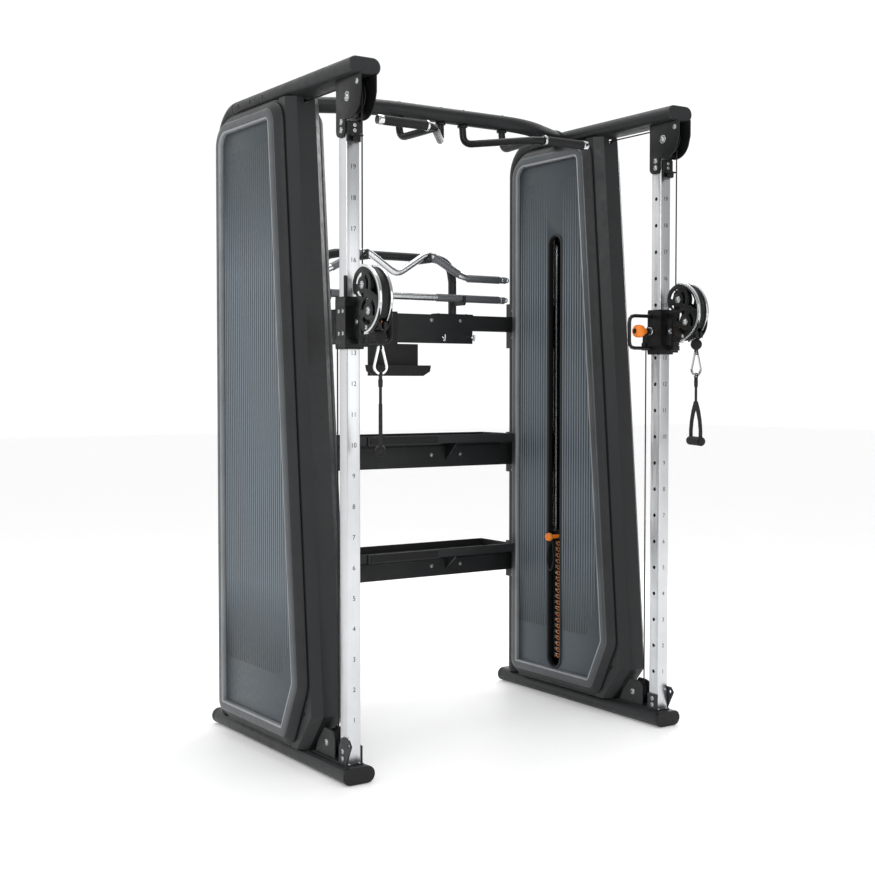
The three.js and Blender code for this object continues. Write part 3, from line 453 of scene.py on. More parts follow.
# Near-black: the real dark of the beam's seam joint, and painted shade in gaps, slots and the tower's inside.
JOINT_AND_GAP_SHADE = coat("joint_and_gap_shade", "0b0b0c", 0.7, 0.0, 600, 0.1, 1.2)
CABLE = coat("cable", "121213", 0.35, 0.0, 2500, 0.4, 2.0)
CHROME = polished("column_chrome", "d6d8da", 0.3)
BRIGHT = polished("bright_metal", "dadcde", 0.13, (60, 60, 60))
BOLT_STEEL = polished("bolt_steel", "b8babc", 0.25, (60, 60, 60))
KNURLED = polished("bar_chrome", "d2d4d6", 0.2, (3, 300, 300))
WEBBING = woven("webbing", "1b1b1c")
GRIP = coat("grip_rubber", "1c1c1d", 0.62, 0.0, 350, 0.5, 2.0)
BAR_GRIP = coat("bar_grip", "6c6e71", 0.5, 0.7, 1500, 0.6, 1.4)


def dress(node, material, edge=0.0):
    """Gives a CAD node its material, and rounds its edges."""
    part = frame["nodes"][node]
    part.data.materials.clear()
    part.data.materials.append(material)
    smooth(part, 38)
    if edge:
        soften(part, edge)


# ---- frame ----
def oval_section(steps=14):
    radius = OVAL_HEIGHT / 2 + 1
    flat = OVAL_WIDTH / 2 - radius
    return arc((flat, 0), radius, -90, 90, steps) + arc((-flat, 0), radius, 90, 270, steps)


def swept_oval(stations):
    """The oval tube through (y, z, turn) stations, closed at its ends with slightly domed caps."""
    section = oval_section()
    count = len(section)
    vertices = []
    for y, z, turn, grow in stations:
        for across, up in section:
            vertices.append((across * grow, y + up * grow * math.sin(turn), z + up * grow * math.cos(turn)))
    ends = [tuple(range(count)), tuple(range(len(vertices) - count, len(vertices)))]
    return mesh_from(vertices, ends + ring_faces(len(stations), count))


def side_frame_tube(label, side):
    """The top beam, bent down as the rear upright."""
    middle = (BEAM_BOTTOM + BEAM_TOP) / 2
    rear = BEAM_SEAM + BEND_RADIUS
    stations = [(BEAM_FRONT, middle, 0, 0.93), (BEAM_FRONT + 3, middle, 0, 1)]
    bend_steps = 20
    for i in range(bend_steps + 1):
        turn = math.pi / 2 * i / bend_steps
        stations.append((BEAM_SEAM + BEND_RADIUS * math.sin(turn),
                         middle - BEND_RADIUS * (1 - math.cos(turn)), turn, 1))
    stations.append((rear, FOOT_TOP + 0.5, math.pi / 2, 1))
    tube = frame_piece(swept_oval(stations), f"{label}_side_tube", side, FRAME_COAT)
    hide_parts(f"{label}_side_frame")
    frame_piece(
        swept_oval([(BEAM_SEAM - 1.5, middle, 0, 1.004), (BEAM_SEAM + 1.5, middle, 0, 1.004)]),
        f"{label}_seam", side, JOINT_AND_GAP_SHADE)


def beam_marks(label, side):
    """Three small upright slots in the beam's outer side, drawn as near-black marks: painted shade in place
    of the holes.
    """
    middle = (BEAM_BOTTOM + BEAM_TOP) / 2
    marks = joined([box_mesh((57.5, y - 2, middle - 7), (59.3, y + 2, middle + 7)) for y in (505, 605, 700)])
    frame_piece(marks, f"{label}_beam_marks", side, JOINT_AND_GAP_SHADE)


def top_bracket_outline():
    return ([(33, BEAM_BOTTOM + 3), (33, 2122)] + arc((12, 2122), 21, 0, -90, 8)
            + arc((-6, 2122), 21, -90, -180, 8) + [(-27, 2150)]
            + arc((-50, 2222), 70, 290, 200, 14) + [(-125, 2232), (-125, BEAM_BOTTOM + 3)])


def top_bracket(label, side):
    """Two plates with their bolts; they hold the top pulley and the column's head."""
    outline = top_bracket_outline()
    plates = joined([plate_mesh([outline], 26, 30.5), plate_mesh([outline], -30.5, -26)])
    frame_piece(plates, f"{label}_top_bracket", side, BLACK_COAT)
    liner = [(24, BEAM_BOTTOM), (24, 2166), (-24, 2166), (-24, BEAM_BOTTOM)]
    frame_piece(plate_mesh([liner], -25.5, -22), f"{label}_bracket_liner", side, BLACK_COAT)
    spots = [(TOP_PULLEY[0], TOP_PULLEY[1], 13), (-102, 2262, 7.5), (0, 2149, 8), (0, 2123, 8)]
    bolts(f"{label}_bracket_bolts", side, "frame",
          [((x, y, z), (sign, 0, 0), radius)
           for y, z, radius in spots for x, sign in ((30.5, 1), (-30.5, -1))])


def bolt_mesh(spot, axis, radius):
    """A button-head bolt with a round socket recess and a washer."""
    height = radius * 0.62
    head = lathe_mesh([(0, height * 0.35), (radius * 0.42, height * 0.35), (radius * 0.46, height),
                       (radius * 0.72, height * 0.86), (radius * 0.92, height * 0.45), (radius, 0)],
                      spot, axis, 24)
    washer = lathe_mesh([(0, 0.9), (radius * 1.28, 0.9), (radius * 1.35, 0.2), (radius * 1.35, -0.3),
                         (0, -0.3)], spot, axis, 28)
    return [head, washer]


def bolts(name, side, body, spots):
    meshes = []
    for spot, axis, radius in spots:
        meshes += bolt_mesh(spot, axis, radius * BOLT_SCALE)
    finish_piece(joined(meshes), name, side, body, BOLT_STEEL)


def top_stop(label, side):
    """The bumper block on the column's front, above the carriage's travel."""
    soften(frame_piece(box_mesh((-24, -36, 2085), (26, -25.2, 2150)),
                       f"{label}_top_stop", side, BLACK_COAT), 2)
    frame_piece(lathe_mesh([(0, 0), (10, 0), (12, 3), (12, 16), (0, 16)], (0, -50, 2083), (0, 0, 1)),
                f"{label}_bumper", side, RUBBER)
    soften(frame_piece(box_mesh((-18, -62, 2099), (18, -30, 2105)),
                       f"{label}_bumper_plate", side, BLACK_COAT), 1.5)
    bolts(f"{label}_stop_bolts", side, "frame",
          [((0, -36, z), (0, -1, 0), 5) for z in (2120, 2137)])


def chrome_column(label, side):
    """The drilled square tube, with numbers beside its holes."""
    half = 25
    corner = 4
    outer = []
    for x, y, start in ((1, -1, -90), (1, 1, 0), (-1, 1, 90), (-1, -1, 180)):
        outer += arc((x * (half - corner), y * (half - corner)), corner, start, start + 90, 5)
    inner = [(-22, -22), (22, -22), (22, 22), (-22, 22)]
    tube = plate_mesh([outer, inner], COLUMN_BOTTOM, COLUMN_TOP, 0.6)
    for vertex in tube.vertices:
        along, x, y = vertex.co
        vertex.co = (x, y, along)
    column = frame_piece(tube, f"{label}_column_tube", side, CHROME, 30)
    drills = []
    for i in range(HOLE_COUNT):
        z = FIRST_HOLE + i * HOLE_PITCH
        drills.append(lathe_mesh([(0, -10), (7, -10), (7, 10), (0, 10)], (-half, 0, z), (1, 0, 0), 28))
    drill = finish_piece(joined(drills), f"{label}_drill", side, None, CHROME)
    cut = column.modifiers.new("holes", "BOOLEAN")
    cut.object = drill
    cut.solver = "EXACT"
    bpy.context.view_layer.update()
    graph = bpy.context.evaluated_depsgraph_get()
    drilled = bpy.data.meshes.new_from_object(column.evaluated_get(graph))
    column.modifiers.clear()
    column.data = drilled
    bpy.data.objects.remove(drill)
    smooth(column, 30)
    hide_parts(f"{label}_column")
    for i in range(HOLE_COUNT):
        spot = place(side, (0, -half - 0.15, FIRST_HOLE + i * HOLE_PITCH))
        number(f"{label}_column_number_{i + 1}", str(i + 1), spot, 0, 0.022, DARK_INK, "frame")


def number(name, words, spot, turn, size, material, body):
    """A printed number, upright, facing -Y after a turn of 0 degrees."""
    curve = bpy.data.curves.new(name, "FONT")
    curve.body = words
    curve.size = size
    curve.align_x = "CENTER"
    curve.align_y = "CENTER"
    curve.extrude = 0.0001
    holder = bpy.data.objects.new(name, curve)
    holder.matrix_world = Matrix.Translation(spot) @ Matrix.Rotation(math.radians(turn), 4, "Z") \
        @ Matrix.Rotation(math.pi / 2, 4, "X")
    mesh = bpy.data.meshes.new_from_object(holder)
    mesh.transform(holder.matrix_world)
    bpy.data.objects.remove(holder)
    piece = bpy.data.objects.new(name, mesh)
    bpy.context.collection.objects.link(piece)
    mesh.materials.clear()
    mesh.materials.append(material)
    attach(piece, body)
    return piece


def foot_details(label, side):
    """Rubber end caps, and the bolts at the column's foot and on the base pulley's axle."""
    dress(f"{label}_foot", FRAME_COAT, 1.2)
    middle = FOOT_TOP - OVAL_HEIGHT / 2 - 1
    low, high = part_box(f"{label}_foot")
    front = low.y / MM - COLUMN_Y
    rear = high.y / MM - COLUMN_Y
    for end, start, stop in (("front", front - 2.5, front + 16), ("rear", rear - 16, rear + 2.5)):
        stations = [(start, middle, 0, 0.97), (start + 2.5, middle, 0, 1.012),
                    (stop - 2.5, middle, 0, 1.012), (stop, middle, 0, 0.99)]
        frame_piece(swept_oval(stations), f"{label}_foot_cap_{end}", side, MOULDED)
    spots = [((sign * 25, *BASE_PULLEY), (sign, 0, 0), 9) for sign in (1, -1)]
    spots += [((sign * 30.5, 0, z), (sign, 0, 0), 7) for sign in (-1, 1) for z in (78, 102)]
    spots += [((x, -24, FOOT_TOP + 4), (0, 0, 1), 4.5) for x in (-20, 20)]
    bolts(f"{label}_foot_bolts", side, "frame", spots)


# ---- tower ----
def panel_outline(grow):
    """A tower panel's rounded outline in (y, z), spread outwards by grow."""
    foot, knee, head = 98, 288, 2250
    corners = [(PANEL_REAR, foot, 30), (PANEL_REAR, head, 78), (panel_front(head), head, 52),
               (panel_front(knee), knee, 70), (PANEL_FRONT_FOOT, foot, 30)]
    tips = [Vector((y, z)) for y, z, _ in corners]
    count = len(corners)
    points = []
    for i, (_, _, round_off) in enumerate(corners):
        before = (tips[i] - tips[i - 1]).normalized()
        after = (tips[(i + 1) % count] - tips[i]).normalized()
        radius = max(round_off + grow, 6)
        half = math.acos(max(-1, min(1, before.dot(after)))) / 2
        inward = (after - before).normalized()
        tip = tips[i] - inward * grow / math.cos(half)
        centre = tip + inward * radius / math.cos(half)
        start = math.degrees(math.atan2(-before.x, before.y))
        points += arc(centre, radius, start, start + math.degrees(2 * half), 12)
    return points


def slot_outline(grow, half=37, bottom=140, top=1912):
    centre = STACK_Y
    return (arc((centre, top - half), half + grow, 0, 180, 20)
            + arc((centre, bottom + half), half + grow, 180, 360, 20))


def tower_panel(label, side, inner):
    """One tower panel: a flared wall, a rim whose inner edge carries a light painted highlight, and a ribbed
    insert.
    """
    name = f"{label}_{'inner' if inner else 'outer'}"
    face = TOWER_HALF
    flip = -1 if inner else 1

    def across(profile):
        return [(grow, flip * x) for grow, x in profile]

    rim_profile = across([
        (-25.4, face - 3), (-25, face + 0.4), (-23, face + 0.8), (-4, face + 0.8),
        (0, face - 0.6), (2.5, face - 4), (1, face - 8), (-25.4, face - 8)])
    rim = frame_piece(loop_band(panel_outline, rim_profile), f"{name}_rim", side, RIM)
    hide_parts(f"{label}_{'inner' if inner else 'outer'}_panel")
    # The rim's inner edge band, in the light painted-highlight colour.
    edge_highlight_profile = across([
        (-34.5, face - 15.5), (-34, face - 2.4), (-32, face + 0.6), (-29.5, face + 1.6), (-26.6, face + 1.6),
        (-25.7, face + 0.6), (-25.7, face - 9), (-30, face - 15.5)])
    frame_piece(loop_band(panel_outline, edge_highlight_profile), f"{name}_rim_edge_highlight", side, RIM_HIGHLIGHT)
    wall_profile = across([
        (2, face - 4), (9, face - 9), (18, face - 17), (25, face - 24), (27, face - 27),
        (27, face - 31), (23, face - 31), (20, face - 24), (-2, face - 9)])
    frame_piece(loop_band(panel_outline, wall_profile), f"{name}_wall", side, WALL)
    outlines = [panel_outline(-32)]
    shadow_outlines = [panel_outline(-27)]
    if inner:
        outlines.append(slot_outline(8))
        shadow_outlines.append(slot_outline(3))
    floor = face - 15
    low, high = sorted((flip * floor, flip * (floor - 3)))
    frame_piece(plate_mesh(outlines, low, high, 0.8), f"{name}_insert", side, INSERT)
    panel_ribs(name, side, flip * floor, flip, inner)
    # A near-black sheet behind the insert: painted shadow in the gap between the insert's edge and the rim.
    low, high = sorted((flip * (floor - 3.4), flip * (floor - 6)))
    frame_piece(plate_mesh(shadow_outlines, low, high, 0.5), f"{name}_shadow_sheet", side, JOINT_AND_GAP_SHADE)
    # A near-black sheet inside the tower, behind the panel: painted shade for the tower's inside, with the
    # slot cut through it on the inner side.
    inside_shade_outlines = [panel_outline(24.5)]
    if inner:
        slot_bezel(name, side, flip, floor)
        inside_shade_outlines.append(slot_outline(3))
    low, high = sorted((flip * 66.2, flip * 68.8))
    frame_piece(plate_mesh(inside_shade_outlines, low, high, 0.5), f"{name}_inside_shade", side, JOINT_AND_GAP_SHADE)


def tower_fillers(label, side):
    """Flanges that carry the cover's colour in behind both panels, and sills that close the foot."""
    for name, flip in (("outer", 1), ("inner", -1)):
        profile = [(18, flip * 64.4), (35, flip * 64.4), (35, flip * 60.5), (18, flip * 60.5)]
        frame_piece(loop_band(panel_outline, profile), f"{label}_{name}_flange", side, COVER)
        low, high = sorted((flip * 61, flip * 65))
        frame_piece(box_mesh((low, 300, FOOT_TOP + 0.4), (high, 800, 76)), f"{label}_{name}_sill", side,
                    MOULDED)


def panel_front(z):
    """How far back a panel's leaning front edge stands at a height."""
    return PANEL_FRONT_TOP - PANEL_LEAN * (PANEL_TOP - z)


def rib_mesh(x, flip, y, bottom, top):
    """One upright rib, low and rounded, that fades out at both ends."""
    fade = 260
    section = ((-3.2, 0), (-2.2, 1.6), (0, 2.4), (2.2, 1.6), (3.2, 0))
    vertices = []
    for z, rise in ((bottom, 0.05), (bottom + fade, 1), (top - fade, 1), (top, 0.05)):
        vertices += [(x + flip * up * rise, y + across, z) for across, up in section]
        vertices += [(x - flip * 0.6, y + 3.2, z), (x - flip * 0.6, y - 3.2, z)]
    count = len(section) + 2
    ends = [tuple(range(count)), tuple(range(3 * count, 4 * count))]
    return mesh_from(vertices, ends + ring_faces(4, count))


def panel_ribs(name, side, x, flip, inner):
    """Ribs at an even pitch over the insert. They stop at the leaning front edge and round the slot."""
    pitch = 15.5
    margin = 46
    foot = 300
    head = 2140
    shortest = 300
    slot_clear = 52
    ribs = []
    y = PANEL_REAR - margin
    while y > panel_front(foot) + margin:
        bottom = foot + max(0, (PANEL_FRONT_FOOT + margin - y) * FOOT_CORNER_SLOPE)
        top = min(head, PANEL_TOP - (PANEL_FRONT_TOP + margin - y) / PANEL_LEAN)
        near_slot = inner and abs(y - STACK_Y) < slot_clear
        if top - bottom > shortest and not near_slot:
            ribs.append(rib_mesh(x, flip, y, bottom, top))
        y -= pitch
    frame_piece(joined(ribs), f"{name}_ribs", side, RIB, 60)


def slot_bezel(name, side, flip, floor):
    """The raised ring round the selector slot, with a near-black inner lip that paints the shade inside the
    slot.
    """
    ring = [(8.5, floor - 1), (9, floor + 3), (7, floor + 4.5),
            (2, floor + 4), (0.5, floor + 1), (0.5, floor - 1)]
    lip = [(1, floor + 2), (1, floor - 14), (-3, floor - 14), (-3, floor + 0.5)]
    for part, profile, material in (("bezel", ring, WALL), ("lip", lip, JOINT_AND_GAP_SHADE)):
        flat = [(grow, flip * x) for grow, x in profile]
        frame_piece(loop_band(slot_outline, flat), f"{name}_{part}", side, material)


def stack_marks(label, side):
    """Plate numbers on a strip, and pin collars with orange rings, on the stack's inner face."""
    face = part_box(f"{label}_weight_stack")
    inner_x = (face[1].x if side < 0 else face[0].x) / MM
    local_x = side * inner_x - COLUMN_X
    boss = [(5.4, -0.5), (5.4, COLLAR_OUT - 1), (8.6, COLLAR_OUT - 1), (9, -0.5)]
    rim = [(6.6, COLLAR_OUT - 1.2), (6.6, COLLAR_OUT), (8.8, COLLAR_OUT), (8.8, COLLAR_OUT - 1.2)]
    strip_out = 6
    bosses = []
    rings = []
    for i in range(PLATE_COUNT):
        z = STACK_BOTTOM + i * PLATE_PITCH + 11
        bosses.append(lathe_mesh(boss, (local_x, STACK_Y, z), (-1, 0, 0), 24))
        rings.append(lathe_mesh(rim, (local_x, STACK_Y, z), (-1, 0, 0), 24))
        spot = place(side, (local_x - strip_out - 0.4, STACK_Y + 21, z))
        number(f"{label}_plate_number_{i + 1}", str(PLATE_COUNT - i), spot, -90 * side, 0.018,
               WHITE_INK, "frame")
    frame_piece(joined(bosses), f"{label}_pin_bosses", side, MOULDED)
    frame_piece(joined(rings), f"{label}_pin_collars", side, ORANGE)
    strip = box_mesh((local_x - strip_out, STACK_Y + 13, STACK_BOTTOM + 1),
                     (local_x + 0.3, STACK_Y + 31, STACK_BOTTOM + PLATE_COUNT * PLATE_PITCH - 2))
    frame_piece(strip, f"{label}_number_strip", side, MOULDED)


def selector_pin(label, side):
    """The stack's selector pin: an orange ball on a pin, turned as one orange piece, with a black lanyard."""
    pin_z = (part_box(f"{label}_selector_pin")[0].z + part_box(f"{label}_selector_pin")[1].z) / 2 / MM
    radius = 17
    ball = [(radius * math.sin(math.radians(a)), -radius * math.cos(math.radians(a)))
            for a in range(0, 160, 8)]
    profile = ball + [(8, radius), (8, 48), (5, 50), (5, 125), (0, 125)]
    pin = finish_piece(lathe_mesh(profile, (-113, STACK_Y, pin_z), (1, 0, 0)),
                       f"{label}_selector_knob", side, f"{label}_selector_pin", ORANGE)
    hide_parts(f"{label}_selector_pin")
    loop = rod_mesh([(-100, STACK_Y, pin_z - 6), (-104, STACK_Y - 16, pin_z - 40),
                     (-106, STACK_Y - 24, pin_z - 100), (-106, STACK_Y, pin_z - 150),
                     (-106, STACK_Y + 24, pin_z - 100), (-104, STACK_Y + 14, pin_z - 40),
                     (-100, STACK_Y + 1, pin_z - 6)], 3.6, 30)
    finish_piece(loop, f"{label}_lanyard", side, f"{label}_selector_pin", MOULDED)


# ---- pulleys and cables ----
def pulley(label, side, which, centre, groove, outer, half):
    """A nylon pulley with a rounded groove, a bearing and spokes."""
    body = f"{label}_{which}"
    rim = [(11, -half + 2), (outer * 0.55, -half + 2), (outer * 0.62, -half), (outer - 1, -half),
           (outer, -half + 1.2), (outer - 0.5, -half + 3)]
    dip = CABLE_RADIUS + 0.6
    rim += [(groove - dip * math.cos(math.radians(a)), dip * math.sin(math.radians(a)))
            for a in range(-60, 61, 20)]
    rim += [(outer - 0.5, half - 3), (outer, half - 1.2), (outer - 1, half),
            (outer * 0.62, half), (outer * 0.55, half - 2), (11, half - 2), (11, -half + 2)]
    middle = (0, *centre)
    axle = (1, 0, 0)
    wheel = finish_piece(lathe_mesh(rim, middle, axle, 56), f"{body}_wheel", side, body, MOULDED)
    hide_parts(body)
    bearing = [(6.5, -half + 1), (10.6, -half + 1), (10.6, half - 1), (6.5, half - 1), (6.5, -half + 1)]
    finish_piece(lathe_mesh(bearing, middle, axle, 32), f"{body}_bearing", side, body, BRIGHT)
    spokes = []
    spoke_count = 6
    for i in range(spoke_count):
        angle = 2 * math.pi * i / spoke_count
        tip = [outer * 0.56 * math.cos(angle), outer * 0.56 * math.sin(angle)]
        root = [11 * math.cos(angle), 11 * math.sin(angle)]
        spokes.append(rod_mesh([(0, centre[0] + root[0], centre[1] + root[1]),
                                (0, centre[0] + tip[0], centre[1] + tip[1])], half - 0.6, 1, 8))
    finish_piece(joined(spokes), f"{body}_spokes", side, body, MOULDED)


def cable(name, side, points, body):
    """A length of cable. Without a body it is left unattached, and its caller bakes it in place."""
    return finish_piece(rod_mesh(points, CABLE_RADIUS, CABLE_BEND, 12), name, side, body, CABLE)


def straight_points(start, end, count=24):
    a = Vector(start)
    b = Vector(end)
    return [tuple(a.lerp(b, i / count)) for i in range(count + 1)]


def stretched_cable(name, side, y, drawn, replaced=None):
    """An upright cable drawn between two heights and baked in place without a body. It hides the CAD cable it
    replaces, when one is given.
    """
    piece = cable(name, side, straight_points((0, y, drawn[0]), (0, y, drawn[1])), None)
    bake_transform(piece)
    if replaced:
        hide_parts(replaced)


def cables(label, side):
    """The cable's visible runs: along the top, down to the head, round it, and behind the column."""
    over = TOP_PULLEY[1] + 44
    wrap = [(0, y, z) for y, z in arc(TOP_PULLEY, 44, 90, 180, 12)]
    rear_wrap = [(0, y, z) for y, z in arc(TOWER_PULLEY, 38, 0, 90, 10)]
    route = [(0, STACK_Y, TOWER_PULLEY[1] - 4)] + rear_wrap + [(0, TOP_PULLEY[0] + 2, over)] + wrap
    feed = cable(f"{label}_feed_run", side, route, "frame")
    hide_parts(f"{label}_feed_cable")
    stem_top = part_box(f"{label}_stack_carrier")[1].z / MM
    stretched_cable(f"{label}_stack_run", side, STACK_Y, (stem_top - 4, TOWER_PULLEY[1]))
    stretched_cable(f"{label}_front_run", side, FRONT_CABLE_Y, (UPPER_PULLEY[1], TOP_PULLEY[1]),
                    f"{label}_front_cable")
    sleeve_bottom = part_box(f"{label}_carriage_sleeve")[0].z / MM
    stretched_cable(f"{label}_rear_run", side, REAR_CABLE_Y, (BASE_PULLEY[1], sleeve_bottom + 10),
                    f"{label}_rear_cable")
    under = [(0, y, z) for y, z in arc(BASE_PULLEY, 38, 180, 300, 14)]
    cable(f"{label}_base_wrap", side, under + [(0, 175, 84)], "frame")
    wrap_upper = [(0, y, z) for y, z in arc(UPPER_PULLEY, 36, 0, -75.6, 12)]
    wrap_lower = [(0, y, z) for y, z in arc(LOWER_PULLEY, 36, 104.4, 180, 12)]
    cable(f"{label}_head_run", side, wrap_upper + wrap_lower, f"{label}_head")
    ball_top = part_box(f"{label}_cable_ball")[1].z / MM
    stretched_cable(f"{label}_hand_run", side, HAND_Y, (LOWER_PULLEY[1], ball_top - 6))


# ---- carriage and head ----
def carriage(label, side):
    body = f"{label}_carriage"
    dress(f"{label}_carriage_sleeve", BLACK_COAT, 1.6)
    profile = [(0, -27), (12, -26.4), (18, -23.5), (22, -19), (24.4, -13), (25, -6), (24.6, 1), (22.4, 8),
               (18.5, 13), (14.5, 17), (12, 21), (11, 27), (6, 27), (6, 78), (0, 78)]
    spot = (-104, 0, REST_Z)
    knob = finish_piece(lathe_mesh(profile, spot, (1, 0, 0), 48), f"{label}_pull_knob", side,
                        f"{label}_pull_pin", ORANGE)
    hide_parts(f"{label}_pull_pin")
    finish_piece(lathe_mesh([(0, -28), (9, -28), (10, -27.2), (10, -25), (0, -25)], spot, (1, 0, 0)),
                 f"{label}_knob_cap", side, f"{label}_pull_pin", MOULDED)
    collar = lathe_mesh([(7, 0), (15, 0), (16, 1.5), (16, 9), (14, 11), (7, 11)], (-57, 0, REST_Z), (1, 0, 0))
    finish_piece(collar, f"{label}_pin_collar", side, body, BRIGHT)
    front = -54.6
    soften(finish_piece(box_mesh((-14, front, REST_Z - 22), (14, front + 2, REST_Z + 22)),
                        f"{label}_sleeve_plate", side, body, MOULDED), 1)
    spots = [((0, front, REST_Z), (0, -1, 0), 8)]
    spots += [((45, y, z), (1, 0, 0), 5.5) for y in (-34, -8) for z in (1468, 1540)]
    bolts(f"{label}_sleeve_bolts", side, body, spots)
    rest = lathe_mesh([(0, 0), (6, 0), (6, 70), (5, 74), (0, 74)], (38, -40, 1580), (0, 0, 1), 20)
    finish_piece(rest, f"{label}_sleeve_post", side, body, BLACK_COAT)
    liner = joined([box_mesh((x0, y0, z0), (x1, y1, z0 + 10))
                    for z0 in (1419, 1578) for x0, y0, x1, y1 in
                    ((-33, -35, 33, -27.5), (-33, 27.5, 33, 34), (-34, -33, -27.5, 33), (27.5, -33, 34, 33))])
    finish_piece(liner, f"{label}_sleeve_liner", side, body, MOULDED)


def cheek_outline():
    """The swivel head's cheek: two round lobes with a straight back."""
    return (arc(UPPER_PULLEY, 57, -28, 30, 8) + [(-73, 1658)] + arc(UPPER_PULLEY, 57, 45, 200, 30)
            + arc(LOWER_PULLEY, 70, 142, 340, 40) + [(-97, 1550), (-91, 1573), (-80, 1590)])


def window_outline(centre, inner, outer, start, end):
    return arc(centre, outer, start, end, 14) + arc(centre, inner, end, start, 14)


def swivel_head(label, side):
    """Two windowed cheeks round the pulleys, and the bright-edged rope guard in front of them."""
    body = f"{label}_head"
    outlines = [cheek_outline()]
    for centre, inner, outer in ((UPPER_PULLEY, 27, 40), (LOWER_PULLEY, 29, 43)):
        outlines += [window_outline(centre, inner, outer, start, start + 78) for start in (8, 128, 248)]
    cheeks = joined([plate_mesh(outlines, 20, 24), plate_mesh(outlines, -24, -20)])
    head = finish_piece(cheeks, f"{label}_head_cheeks", side, body, BLACK_COAT)
    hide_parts(f"{label}_swivel_head")
    hub = lathe_mesh([(6, -16), (6, 0), (14, 0), (15, 2), (15, 100), (14, 102), (6, 102), (6, 117)],
                     (0, FRONT_CABLE_Y, 1452), (0, 0, 1))
    finish_piece(hub, f"{label}_head_hub", side, body, BLACK_COAT)
    soften(finish_piece(box_mesh((-20, -106, 1462), (20, -90, 1545)), f"{label}_head_web", side, body,
                        BLACK_COAT), 2)
    centre = (-118, 1573)
    band = arc(centre, 104, 84, 216, 48) + arc(centre, 99, 216, 84, 48)
    finish_piece(plate_mesh([band], -22, 22, 0.6), f"{label}_guard_band", side, body, MOULDED)
    lip = arc(centre, 112, 86, 262, 56) + arc(centre, 104, 262, 86, 56)
    lips = joined([plate_mesh([lip], 15, 25.5, 1.2), plate_mesh([lip], -25.5, -15, 1.2)])
    web_ring = arc(centre, 105, 88, 232, 48) + arc(centre, 96, 232, 88, 48)
    rims = joined([plate_mesh([web_ring], 20.5, 23.5, 0.6), plate_mesh([web_ring], -23.5, -20.5, 0.6)])
    finish_piece(rims, f"{label}_guard_rims", side, body, BLACK_COAT)
    finish_piece(lips, f"{label}_guard_lips", side, body, BRIGHT)
    spots = [((x, y, z), (sign, 0, 0), radius) for x, sign in ((24, 1), (-24, -1))
             for (y, z), radius in ((UPPER_PULLEY, 10), (LOWER_PULLEY, 10), ((-145, 1484), 6))]
    bolts(f"{label}_head_bolts", side, body, spots)
    guide = joined([box_mesh((sign * 11 - 7, HAND_Y - 17, 1477), (sign * 11 + 7, HAND_Y + 16, 1500))
                    for sign in (-1, 1)])
    soften(finish_piece(guide, f"{label}_cable_guide", side, body, MOULDED), 2)


def hand_grip(label, side):
    """The cable's ball, the snap hook and the stirrup handle."""
    ball = f"{label}_ball"
    dress(f"{label}_cable_ball", MOULDED)
    radius = 20.8
    sphere = [(radius * math.sin(math.radians(a)), radius * math.cos(math.radians(a)))
              for a in range(0, 181, 6)]
    centre_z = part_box(f"{label}_cable_ball")[1].z / MM - 30
    finish_piece(lathe_mesh(sphere, (0, HAND_Y, centre_z), (0, 0, 1), 48), f"{label}_ball_skin", side, ball,
                 RUBBER)
    seam = [(radius - 0.6, -1.4), (radius + 0.5, -0.8), (radius + 0.5, 0.8), (radius - 0.6, 1.4)]
    finish_piece(lathe_mesh(seam, (0, HAND_Y, centre_z), (0, 0, 1), 48), f"{label}_ball_seam", side, ball,
                 MOULDED)
    dress(f"{label}_snap_hook", BRIGHT, 2.2)
    dress(f"{label}_handle_strap", WEBBING, 2.0)
    axis = JOINTS[f"{label}_grip_spin"]["axis"]
    tower_axis = (axis[0] * side, axis[1], axis[2])
    half = 46.5
    grip = [(6, -half), (14, -half)]
    rib_pitch = 6.2
    along = -half + 3
    while along < half - 3:
        grip += [(16.2, along), (16.6, along + rib_pitch * 0.35),
                 (16.2, along + rib_pitch * 0.7), (15.6, along + rib_pitch * 0.85)]
        along += rib_pitch
    grip += [(14, half), (6, half), (6, -half)]
    spindle = [(0, -64), (9, -64), (10, -62), (10, -58.5), (6, -58.5),
               (6, 58.5), (10, 58.5), (10, 62), (9, 64), (0, 64)]
    sleeve = finish_piece(lathe_mesh(grip, (0, HAND_Y, GRIP_Z), tower_axis, 40), f"{label}_grip_sleeve", side,
                          f"{label}_grip", GRIP)
    finish_piece(lathe_mesh(spindle, (0, HAND_Y, GRIP_Z), tower_axis, 32), f"{label}_grip_spindle", side,
                 f"{label}_grip", MOULDED)
    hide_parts(f"{label}_handle_grip")


# ---- crossbar and pull-up handles ----
def crossbar():
    z = 2311
    end_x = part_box("crossbar")[1].x / MM
    slope = (556 - 412) / (COLUMN_X - OVAL_WIDTH / 2 - 350)
    end_y = 412 + slope * (end_x - 350)
    path = [(-end_x, end_y, z), (-350, 412, z), (350, 412, z), (end_x, end_y, z)]
    bar = frame_piece(rod_mesh(path, 29, 110, 40), "crossbar_tube", 0, FRAME_COAT)
    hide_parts("crossbar")
    spots = [((sign * x, 412, z + 28.4), (0, 0, 1), 7) for sign in (-1, 1) for x in (50, 234)]
    bolts("crossbar_bolts", 0, "frame", spots)
    for sign in (-1, 1):
        collar_x = COLUMN_X - OVAL_WIDTH / 2 - 14
        collar_y = 412 + slope * (collar_x - 350)
        direction = Vector((sign, slope, 0)).normalized()
        collar = lathe_mesh([(28, -6), (32, -6), (33, -4), (33, 10), (28, 12)],
                            (sign * collar_x, collar_y, z), direction)
        frame_piece(collar, f"crossbar_collar_{'right' if sign > 0 else 'left'}", 0, FRAME_COAT)


